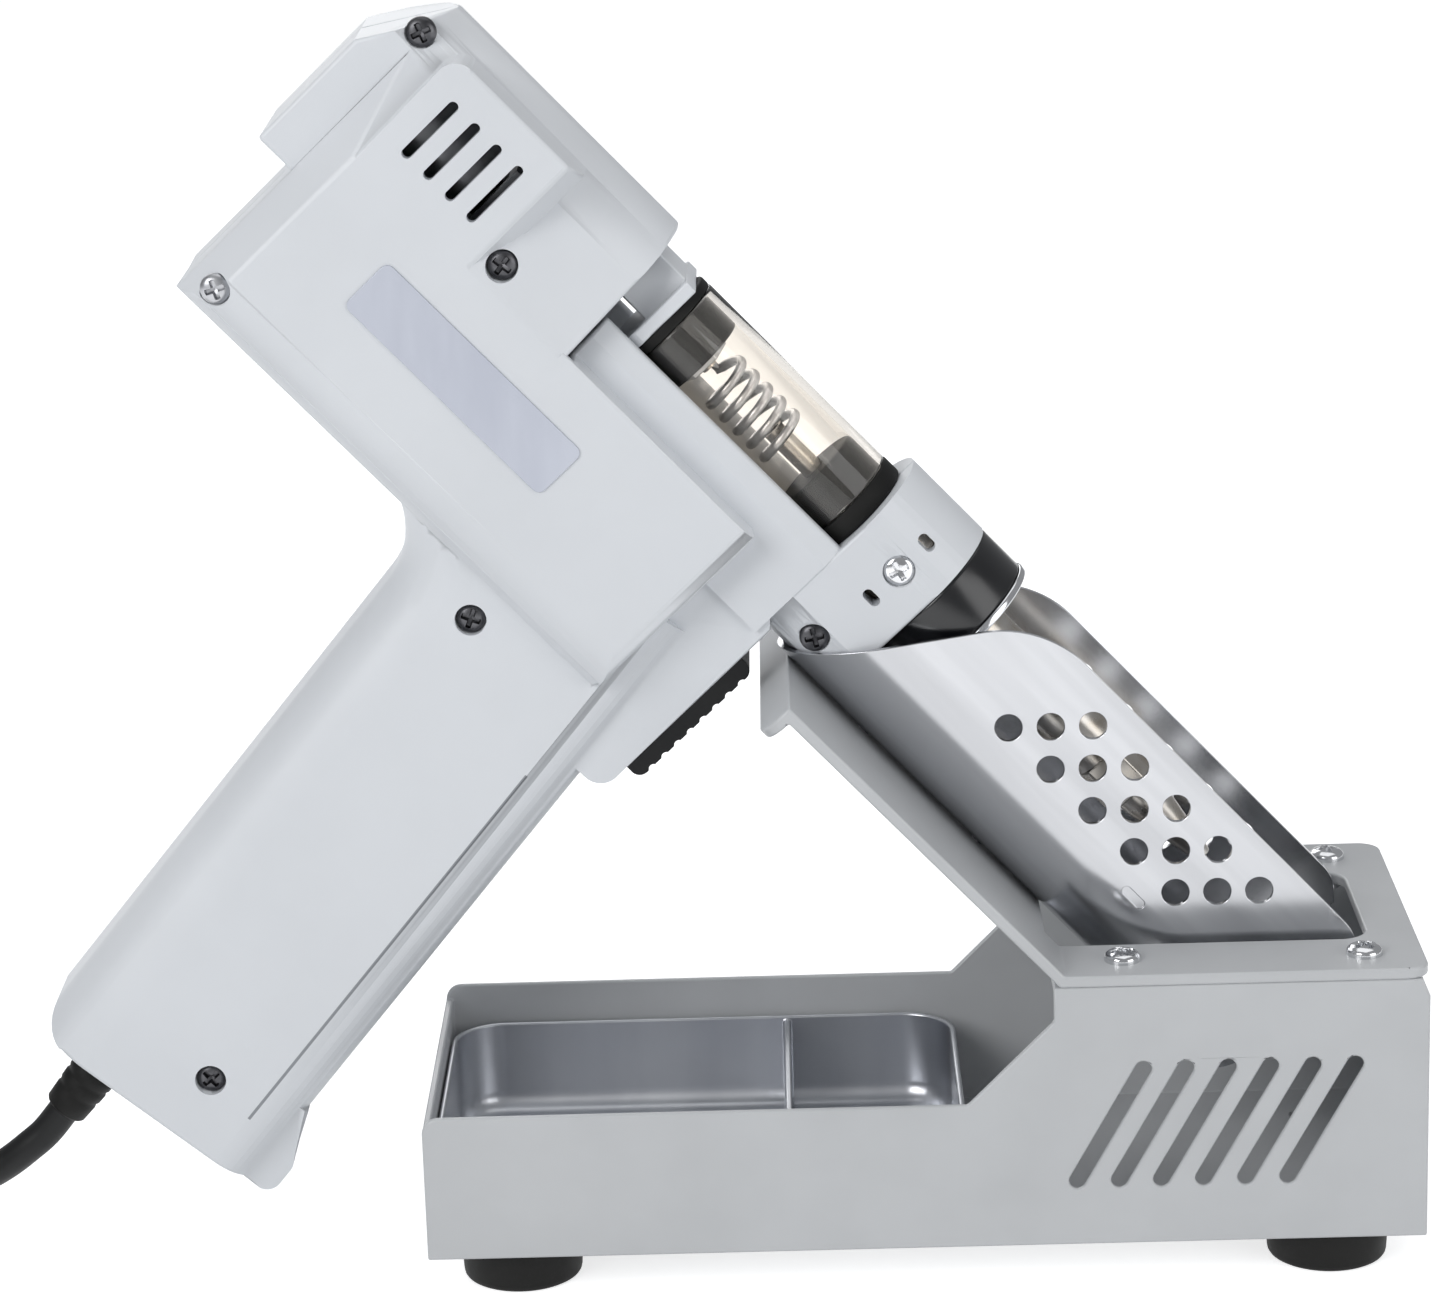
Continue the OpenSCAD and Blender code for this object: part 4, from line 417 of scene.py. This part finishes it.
above = node(tree, "ShaderNodeMath", {0: up_grip, 1: grip_foot}, operation="GREATER_THAN").outputs[0]
kept = node(tree, "ShaderNodeMath", {0: below, 1: above}, operation="MULTIPLY").outputs[0]
groove_shade_mask = node(tree, "ShaderNodeMath", {0: near, 1: kept}, operation="MULTIPLY").outputs[0]
colour = shader.inputs["Base Color"].links[0].from_socket
# The painted groove shade is mixed over the plastic's own colour here.
shade = node(tree, "ShaderNodeMix", {0: groove_shade_mask, 6: colour, 7: linear("#8F9297")}, data_type="RGBA")
tree.links.new(shade.outputs[2], shader.inputs["Base Color"])

# %% [markdown]
# The stand is sheet steel with a light grey stoved enamel: a smooth satin coat with a little orange peel, the slow
# waviness that paint keeps as it flows out.
# %% Stoved enamel, light grey
enamel, tree, shader, place = start_finish("stoved_enamel_grey", "#C6C8CA", 0.34, IOR=1.5)
uneven(tree, shader, place, "#C3C5C7", "#C9CBCD", 0.3, 0.38, 25, 1.3, 0.008)

# %% [markdown]
# Two kinds of aluminium. The trough is bright rolled sheet, with faint streaks along the way that it was rolled, so
# it mirrors the room softly. The tray was drawn in a press and then polished to a satin: it shows wider, dimmer
# reflections.
# %% Aluminium: rolled and drawn
bright_sheet, tree, shader, place = start_finish("rolled_aluminium_bright", "#C2C3C6", 0.2, 1.0)
turned_place = node(tree, "ShaderNodeMapping", {"Vector": place, "Rotation": (0, DIP, 0)}, vector_type="TEXTURE")
uneven(tree, shader, turned_place.outputs[0], "#B9BABD", "#CACBCE", 0.16, 0.24, 6, 0.5, 0.0015, (0.06, 1, 1))
satin_tray, tree, shader, place = start_finish("drawn_aluminium_satin", "#C3C5CA", 0.34, 1.0)
uneven(tree, shader, place, "#CACCD1", "#D2D4D8", 0.3, 0.36, 12, 0.4, 0.002, (1, 1, 0.15))

# %% [markdown]
# Screws and small steel. The plate's screws are chromed and mirror the room. The case screws are black oxide: dark,
# with an oily satin. One of them, and hidden pins, nuts and springs, are zinc-plated, a cool grey that is a little
# cloudy.
# %% Screws and steel
chrome, tree, shader, place = start_finish("chrome_plate", "#DCDDDF", 0.12, 1.0)
uneven(tree, shader, place, "#D8D9DB", "#E0E1E3", 0.1, 0.16, 2, 0.3, 0.0008)
dark_screw, tree, shader, place = start_finish("black_oxide_steel", "#5A5A5D", 0.36, 1.0)
uneven(tree, shader, place, "#505053", "#636366", 0.3, 0.42, 1.5, 0.3, 0.002)
zinc, tree, shader, place = start_finish("zinc_plated_steel", "#BABBBE", 0.36, 1.0)
uneven(tree, shader, place, "#B2B3B7", "#C3C4C6", 0.3, 0.42, 3, 0.5, 0.002)
tool_steel, tree, shader, place = start_finish("heated_tool_steel", "#BDB8B0", 0.27, 1.0)
uneven(tree, shader, place, "#AFA79C", "#C6C3BE", 0.22, 0.34, 5, 0.4, 0.002)
brass, tree, shader, place = start_finish("drawn_brass", "#D9B870", 0.3, 1.0)
uneven(tree, shader, place, "#D2AF66", "#DFC07C", 0.26, 0.36, 3, 0.5, 0.002)

# %% [markdown]
# Blacks. Rubber is matt and slightly grey where it catches light, nylon has a low sheen with the mould's texture, and
# the heat ring is a hard gloss resin that mirrors. The lead is soft PVC between the two.
# %% Rubber, nylon, gloss resin, PVC
rubber, tree, shader, place = start_finish("moulded_rubber_black", "#121211", 0.6, IOR=1.52, Specular_IOR_Level=0.25)
uneven(tree, shader, place, "#0F0F0E", "#161615", 0.54, 0.66, 4, 0.4, 0.02)
nylon, tree, shader, place = start_finish("moulded_nylon_black", "#101113", 0.42, IOR=1.53, Specular_IOR_Level=0.25)
uneven(tree, shader, place, "#0D0E10", "#131416", 0.36, 0.48, 5, 0.35, 0.01)
gloss_ring, tree, shader, place = start_finish("phenolic_resin_gloss_black", "#121316", 0.12, IOR=1.6)
uneven(tree, shader, place, "#101114", "#16171A", 0.2, 0.27, 6, 1.2, 0.002)
pvc, tree, shader, place = start_finish("extruded_pvc_black", "#121314", 0.44, IOR=1.53, Specular_IOR_Level=0.3)
uneven(tree, shader, place, "#101112", "#151617", 0.4, 0.52, 6, 0.6, 0.01)

# %% [markdown]
# The label is a thin foil, silver with a cool cast: half metal, half clear film. The glass is a plain tube of
# heat-proof glass, a touch warm. The heater's core is fired alumina, and its leads wear a woven sleeve.
# %% Foil, glass, ceramic and the rest
foil, tree, shader, place = start_finish("label_foil_silver", "#BEC2CE", 0.33, 0.4, IOR=1.5)
uneven(tree, shader, place, "#BABECA", "#C5C9D4", 0.3, 0.38, 9, 0.3, 0.0012, (1, 1, 0.2))
glass, tree, shader, place = start_finish("heatproof_glass", "#F6F2EC", 0.03, IOR=1.474, Transmission_Weight=1.0)
wave = node(tree, "ShaderNodeTexNoise", {"Vector": place, "Scale": per_mm(9), "Detail": 1.0}).outputs["Fac"]
WAVE_HEIGHT = 0.03
ripple = node(tree, "ShaderNodeBump", {"Height": wave, "Distance": WAVE_HEIGHT * MM}).outputs[0]
tree.links.new(ripple, shader.inputs["Normal"])
alumina, tree, shader, place = start_finish("fired_alumina", "#E8E4D8", 0.6, IOR=1.76)
uneven(tree, shader, place, "#E2DDCF", "#EDEAE0", 0.55, 0.68, 3, 0.3, 0.01)
board, tree, shader, place = start_finish("fibre_board_green", "#2F6B45", 0.4, IOR=1.5)
uneven(tree, shader, place, "#2A6340", "#36734C", 0.35, 0.48, 4, 0.5, 0.005)
braid, tree, shader, place = start_finish("woven_glass_fibre", "#C4B08C", 0.8, IOR=1.5)
uneven(tree, shader, place, "#B29E7A", "#D2C09E", 0.74, 0.86, 1, 0.5, 0.05)
print("finishes", len(bpy.data.materials))


def dress(piece, material):
    """Give a piece one material in its only slot, or in every slot that it has."""
    if not piece.data.materials:
        piece.data.materials.append(material)
    for i in range(len(piece.data.materials)):
        piece.data.materials[i] = material


for piece, material in ((run, pvc), (coil, pvc), (plug, pvc), (sleeve, rubber), (tie, nylon)):
    dress(piece, material)


# %% [markdown]
# ## Sheet metal and moulded shells
# The solids of the sheet metal and the shells already have the right shape, but their edges are knife sharp and their
# curves are flat triangles. A copy of the mesh is merged, its flat triangles are joined to whole faces again, and a
# Bevel modifier rounds sharp edges by the radius that bending, moulding or tumbling leaves. Its overlap clamp is off,
# because one short edge anywhere would shrink every bevel of the piece to nothing. A Weighted Normal modifier then
# lets the large faces decide the shading, so they stay flat up to their rounded edges.
# %% A finer copy of a CAD solid
CAD_MERGE_M, CAD_FLAT = 2e-6, 0.3


def cad_copy(nodes, name, body, material, bevel, sharp=32.0, steps=2, broad=0.0):
    """A merged copy of CAD nodes with rounded edges: bevel is the radius in mm and sharp the least angle of an edge
    that gets it, in degrees. Triangles that turn less than CAD_FLAT degrees become one face. With broad given, only
    outer edges between two faces of at least that area in square mm are rounded, so that slots and bosses stay."""
    work = bmesh.new()
    for each in nodes:
        work.from_mesh(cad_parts[each].data)
    bmesh.ops.remove_doubles(work, verts=work.verts, dist=CAD_MERGE_M)
    bmesh.ops.dissolve_degenerate(work, edges=work.edges, dist=CAD_MERGE_M)
    bmesh.ops.recalc_face_normals(work, faces=work.faces)
    bmesh.ops.dissolve_limit(work, angle_limit=math.radians(CAD_FLAT), verts=work.verts, edges=work.edges)
    weight = work.edges.layers.float.new("bevel_weight_edge")
    for each in work.edges:
        if len(each.link_faces) == 2 and each.is_convex and each.calc_face_angle(0) > math.radians(sharp):
            each[weight] = float(min(face.calc_area() for face in each.link_faces) >= broad * MM ** 2)
    mesh = bpy.data.meshes.new(name)
    work.to_mesh(mesh)
    work.free()
    mesh.shade_smooth()
    mesh.set_sharp_from_angle(angle=math.radians(sharp))
    made = bpy.data.objects.new(name, mesh)
    bpy.context.scene.collection.objects.link(made)
    edge = made.modifiers.new("rounded_edges", "BEVEL")
    edge.width, edge.segments, edge.limit_method = bevel * MM, steps, "WEIGHT" if broad else "ANGLE"
    edge.angle_limit = math.radians(sharp)
    edge.use_clamp_overlap = False
    edge.miter_outer = "MITER_ARC"
    calm = made.modifiers.new("calm_flat_faces", "WEIGHTED_NORMAL")
    calm.keep_sharp = True
    dress(made, material)
    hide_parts(*nodes)
    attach(made, body)


# %% The stand
cad_copy(["base_box"], "stand_box", "stand", enamel, 0.35)
cad_copy(["top_plate"], "stand_plate", "stand", enamel, 0.45, steps=3)
cad_copy(["trough"], "nose_trough", "stand", bright_sheet, 0.1, sharp=45)
cad_copy(["trough_rivets"], "trough_rivet_heads", "stand", bright_sheet, 0.1)
cad_copy(["solder_tray"], "drawn_tray", "tray", satin_tray, 0.35)

# %% The housing and what slides in it
cad_copy(["shell_right"], "housing_right", "gun", abs_white, 0.7, steps=3, broad=45)
cad_copy(["shell_left"], "housing_left", "gun", abs_white, 0.7, steps=3, broad=45)
cad_copy(["label_plate"], "bare_label", "gun", foil, 0.08)
cad_copy(["tube_retainer"], "tube_slide", "retainer", abs_white, 0.35, broad=6)
cad_copy(["trigger"], "ribbed_trigger", "trigger", nylon, 0.3, broad=6)

# %% [markdown]
# ## Screws
# A screw's head is a dome on a polar grid, with rings from the middle outwards and spokes round it. The cross recess
# is a height taken away where a point lies within half an arm's width of either axis and inside the arm's length. The
# last rings go down the rim, under the head and along the shank, so the screw is one closed surface.
# %% Cross-head screws
SPOKES = 96
RIM, CROWN, DOME_POWER = 0.28, 0.72, 2.6        # the rim's height and the crown's above it, as shares of the head's
RECESS_WALL, RECESS_END = 0.12, 0.2             # how wide the recess's side walls and its arms' ends slope, in mm


def cross_screw(centre, axis, head_r, head_h, shank_r, shank_l, turn):
    """Height of the dome: head_h * (rim + crown * (1 - (radius / head radius) ^ power) ^ 0.5). The cross takes away
    a depth that falls from the middle to the arm's end, with walls as steep as the grid allows."""
    axis, first, second = across_axis(axis)
    share = np.concatenate([np.linspace(0, 0.72, 30), np.linspace(0.75, 1, 12)])[:, None]
    angle = np.linspace(0, 2 * np.pi, SPOKES, endpoint=False)[None, :] + turn
    radius = share * head_r + 0 * angle
    u, v = radius * np.cos(angle - turn), radius * np.sin(angle - turn)
    narrow, wide = np.minimum(np.abs(u), np.abs(v)), np.maximum(np.abs(u), np.abs(v))
    arm_half, arm_l = head_r * 0.15, head_r * 0.62
    inside = np.clip((arm_half - narrow) / RECESS_WALL + 0.5, 0, 1) * np.clip((arm_l - wide) / RECESS_END + 0.5, 0, 1)
    depth = head_h * 0.85 * (1 - 0.45 * wide / arm_l)
    dome = head_h * (RIM + CROWN * np.sqrt(np.clip(1 - share ** DOME_POWER, 0, 1)))
    height = dome - inside * np.clip(depth, 0, None)
    below = np.array([[head_r, 0], [shank_r, 0], [shank_r, -shank_l], [0, -shank_l]])
    radius = np.vstack([radius, np.broadcast_to(below[:, :1], (len(below), SPOKES))])
    height = np.vstack([height, np.broadcast_to(below[:, 1:], (len(below), SPOKES))])
    round_way = np.cos(angle)[..., None] * first + np.sin(angle)[..., None] * second
    return grid(np.asarray(centre, float) + radius[..., None] * round_way + height[..., None] * axis)


CASE_SCREWS = [(-145.3, 8.1, 13.9, 0.4), (-107.7, -9.8, 20.05, 0.9), (-20.5, -19.5, 12.7, 0.2)]
CASE_ON_GRIP = [(-66.46, -59.96, 15.4, 1.2), (-38.68, -156.33, 15.4, 0.7)]
SILVER_SCREW = (-139.7, -48.0, 20.8, 0.3)
# Head radius, head height, shank radius and shank length of each kind.
CASE_HEAD, NOSE_HEAD, PLATE_HEAD = (2.7, 1.75, 1.4, 13.2), (2.79, 1.4, 1.2, 2.3), (3.25, 1.95, 1.5, 8.9)
CASE_SEAT, SCREW_REACH = 1.8, 18.0


def case_screw(a, b, out, turn):
    """One screw of the near shell: its head's top lies about out millimetres from the middle plane, and its seat
    CASE_SEAT further in."""
    return cross_screw(on_gun(a, CASE_SEAT - out, b), -Y, *CASE_HEAD, turn)


case_places = CASE_SCREWS + CASE_ON_GRIP + [SILVER_SCREW]
screws = mesh_object("case_screw_set", [case_screw(*each) for each in case_places], 30)
dress(screws, dark_screw)
screws.data.materials.append(zinc)
# One case screw is silver: the faces within SCREW_REACH of its place take the second material.
silver_at = on_gun(SILVER_SCREW[0], -SILVER_SCREW[2], SILVER_SCREW[1])
centres = np.empty(len(screws.data.polygons) * 3)
screws.data.polygons.foreach_get("center", centres)
from_silver = np.linalg.norm(centres.reshape(-1, 3) / MM - silver_at, axis=1)
screws.data.polygons.foreach_set("material_index", (from_silver < SCREW_REACH).astype(np.int32))
print("silver faces", int((from_silver < SCREW_REACH).sum()), "of", len(from_silver))
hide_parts("case_screws")
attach(screws, "gun")
NOSE_A, NOSE_Y, NOSE_TURN = -19, 12.46, 0.5
nose = mesh_object("nose_screw_pair", [cross_screw(on_gun(NOSE_A, side * NOSE_Y, 0), side * Y, *NOSE_HEAD, NOSE_TURN)
                                       for side in (-1, 1)], 30)
dress(nose, chrome)
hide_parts("nose_screws")
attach(nose, "gun")
PLATE_TOP = 59.5
PLATE_SCREWS = ((70.65, -26.7, 0.3), (70.65, 26.7, 1.0), (113.85, -26.7, 0.65), (113.85, 26.7, 0.1))
plate_screws = mesh_object("plate_screw_set", [cross_screw((x, y, PLATE_TOP), (0, 0, 1), *PLATE_HEAD, turn)
                                               for x, y, turn in PLATE_SCREWS], 30)
dress(plate_screws, chrome)
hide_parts("plate_screws")
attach(plate_screws, "stand")

# %% [markdown]
# ## Turned pieces
# Feet, rings, seals, glass and the hot nose are round, so each is a profile carried round its axis, with its corners
# rounded first.
# %% A turned piece
TURN_STEPS, TURN_SHARP = 96, 50


def turned(name, profile, radii, origins, axis, node_name, body, slot, material):
    """A profile of (distance, radius) with rounded corners, carried round an axis at each origin and put in a CAD
    node's place."""
    outline = rounded(profile, radii)
    made = mesh_object(name, [lathe(outline, each, axis, TURN_STEPS, closed=True) for each in origins], TURN_SHARP)
    dress(made, material)
    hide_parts(node_name)
    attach(made, body)
    return made


FOOT = [(0, 4.5), (0, 10.8), (8.28, 11.28), (8.28, 2.3), (3.6, 2.3), (3.6, 4.5)]
turned("rubber_feet", FOOT, (0.4, 1.2, 0.5, 0.1, 0.1, 0.3), [(x, y, 0) for x in (-39.15, 108.25) for y in (-21, 21)],
       (0, 0, 1), "feet", "stand", "black_rubber", rubber)
RING = [(-11, 11.6), (-11, 13.78), (-1.5, 13.78), (-1.5, 11.6)]
turned("heat_ring_gloss", RING, (0.2, 0.7, 0.5, 0.2), [FLANGE_MM], A, "heat_ring", "gun", "black_gloss", gloss_ring)
PLATE = [(-1.48, 6.1), (-1.48, 14.16), (0, 14.16), (0, 6.1)]
turned("heater_flange_plate", PLATE, (0.1, 0.4, 0.5, 0.2), [FLANGE_MM], A, "heater_flange", "gun", "zinc_steel",
       chrome)
GLASS = [(-77.48, 8.92), (-77.48, 10.48), (-33.02, 10.48), (-33.02, 8.92)]
turned("collecting_tube", GLASS, (0.6, 0.6, 0.6, 0.6), [FLANGE_MM], A, "glass_tube", "gun", "tube_glass", glass)
FRONT_SEAL = [(-41, 2.1), (-41, 8.8), (-33.02, 8.8), (-33.02, 10.58), (-29, 10.58), (-29, 2.1)]
turned("front_seal_plug", FRONT_SEAL, (0.2, 0.8, 0.05, 0.4, 0.8, 0.3), [FLANGE_MM], A, "front_seal", "gun",
       "black_rubber", rubber)
REAR_SEAL = [(-79.5, 1.6), (-79.5, 10.36), (-77.52, 10.36), (-77.52, 8.8), (-69, 8.8), (-69, 1.6)]
turned("rear_seal_plug", REAR_SEAL, (0.2, 0.5, 0.4, 0.05, 0.8, 0.3), [FLANGE_MM], A, "rear_seal", "gun",
       "black_rubber", rubber)
BARREL = [(-23.5, 5.32), (-23.5, 5.99), (34, 5.99), (34, 5.32)]
turned("barrel_tube", BARREL, (0.2, 0.2, 0.2, 0.2), [FLANGE_MM], A, "heater_barrel", "gun", "tool_steel", tool_steel)
NOZZLE = [(43, 0.62), (43, 4.49), (46, 4.49), (61.9, 1.62), (62, 0.62)]
turned("nozzle_tip", NOZZLE, (0.05, 0.4, 1.2, 0.3, 0.1), [FLANGE_MM], A, "nozzle", "gun", "tool_steel", tool_steel)
cad_copy(["barrel_nut"], "barrel_hex_nut", "gun", tool_steel, 0.3)
cad_copy(["hex_nut"], "baffle_hex_nut", "gun", zinc, 0.2)

# %% [markdown]
# The wire baffle in the glass is a helix: while the angle turns steadily the point moves one pitch along the axis for
# each turn. A short straight stretch leads it from the nut.
# %% Wire baffle
BAFFLE_AT, BAFFLE_R, BAFFLE_PITCH, BAFFLE_LOOPS, WIRE_R = -67.5, 4.7, 3.3, 5, 0.88
turn = np.linspace(0, BAFFLE_LOOPS, BAFFLE_LOOPS * 36 + 1)
helix = np.stack([BAFFLE_AT + BAFFLE_PITCH * (1 + turn), BAFFLE_R * np.cos(2 * np.pi * turn),
                  BAFFLE_R * np.sin(2 * np.pi * turn)], -1)
lead_in = np.array([[-67.45, BAFFLE_R, 0], [BAFFLE_AT + BAFFLE_PITCH / 2, BAFFLE_R, 0]])
local = np.vstack([lead_in, helix])
baffle = mesh_object("wire_baffle", [tube(on_gun(local[:, 0], local[:, 1], local[:, 2]), WIRE_R, 12,
                                          tuple(A + 0.2 * Y + 0.1 * B))])
dress(baffle, zinc)
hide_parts("baffle_coil")
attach(baffle, "gun")

# %% [markdown]
# ## The solids that stay
# What is left lies inside the housing or under the stand, or is plain and flat as the plug's blades are, so the packed
# solid's own shape is enough. Each gets the finish of its real material.
# %% Dress the solids that stay
STAY = {
    zinc: ["plate_nuts", "foot_screws", "retainer_spring", "trigger_spring", "pump_screws", "clamp_screws", "motor_can",
           "motor_shaft", "pump_frame", "pump_rod"],
    tool_steel: ["suction_pipe", "air_pipe", "heater_socket"],
    alumina: ["heater_core"],
    rubber: ["suction_hose", "diaphragm"],
    nylon: ["motor_cap", "pump_body", "pump_head", "switch_body", "cord_clamp", "eccentric", "board_parts"],
    board: ["circuit_board"],
    braid: ["heater_leads"],
    pvc: ["inner_lead"],
    abs_white: ["switch_plunger"],
    brass: ["plug_blades"],
}
for material, names in STAY.items():
    for each in names:
        dress(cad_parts[each], material)
print("dressed", sum(len(names) for names in STAY.values()), "solids that stay")

# %% [markdown]
# ## Studio
# A wide pale table, a weak soft light overhead, a strong one from the front left, one from the right and one behind
# that keeps the far side from going dull. The table shows as white to the camera, to mirrors and through glass, and
# still takes the shadows. The world shows as white to the camera and through glass, and mirrors see its plain level.
# %% Floor
TABLE_R, FLOOR_GLOW = 6000.0, 0.72
floor_mesh = bpy.data.meshes.new("table_top")
corners = np.array([[-1, -1, 0], [1, -1, 0], [1, 1, 0], [-1, 1, 0]]) * TABLE_R * MM
floor_mesh.from_pydata(corners.tolist(), [], [[0, 1, 2, 3]])
floor = bpy.data.objects.new("table_top", floor_mesh)
bpy.context.scene.collection.objects.link(floor)
paper, tree, shader, place = start_finish("matt_paper_white", "#E9EAEB", 0.9)
seen = node(tree, "ShaderNodeLightPath")
either = node(tree, "ShaderNodeMath", {0: seen.outputs["Is Camera Ray"], 1: seen.outputs["Is Glossy Ray"]},
              operation="MAXIMUM").outputs[0]
either = node(tree, "ShaderNodeMath", {0: either, 1: seen.outputs["Is Transmission Ray"]},
              operation="MAXIMUM").outputs[0]
glow = node(tree, "ShaderNodeMath", {0: either, 1: FLOOR_GLOW}, operation="MULTIPLY").outputs[0]
shader.inputs["Emission Color"].default_value = (1, 1, 1, 1)
tree.links.new(glow, shader.inputs["Emission Strength"])
floor_mesh.materials.append(paper)

# %% World and lamps
world = bpy.data.worlds.new("studio")
bpy.context.scene.world = world
world.use_nodes = True
tree = world.node_tree
tree.nodes.clear()
seen = node(tree, "ShaderNodeLightPath")
either = node(tree, "ShaderNodeMath", {0: seen.outputs["Is Camera Ray"], 1: seen.outputs["Is Transmission Ray"]},
              operation="MAXIMUM").outputs[0]
WORLD_LEVEL = 0.36
room = node(tree, "ShaderNodeBackground", {"Color": linear("#F2F4F7"), "Strength": WORLD_LEVEL})
white = node(tree, "ShaderNodeBackground", {"Color": (1, 1, 1, 1), "Strength": 1.0})
mixed = node(tree, "ShaderNodeMixShader", {0: either, 1: room.outputs[0], 2: white.outputs[0]})
node(tree, "ShaderNodeOutputWorld", {"Surface": mixed.outputs[0]})


def soft_light(name, place, target, size, watts):
    """A square area light at a place, turned to face a target, both in mm."""
    lamp = bpy.data.lights.new(name, "AREA")
    lamp.shape, lamp.size, lamp.energy = "SQUARE", size * MM, watts
    made = bpy.data.objects.new(name, lamp)
    bpy.context.scene.collection.objects.link(made)
    way = Vector(target) - Vector(place)
    made.matrix_world = Matrix.Translation(Vector(place) * MM) @ way.to_track_quat("-Z", "Y").to_matrix().to_4x4()


soft_light("overhead", (100, 150, 1100), (0, 0, 80), 900, 2.2)
soft_light("front_left", (-700, -900, 700), (0, 0, 100), 600, 6.3)
soft_light("front_right", (900, -700, 400), (0, 0, 100), 700, 3.2)
soft_light("rear_fill", (-350, 1100, 650), (0, 0, 100), 700, 3.0)
bpy.context.scene.view_settings.view_transform = "Standard"
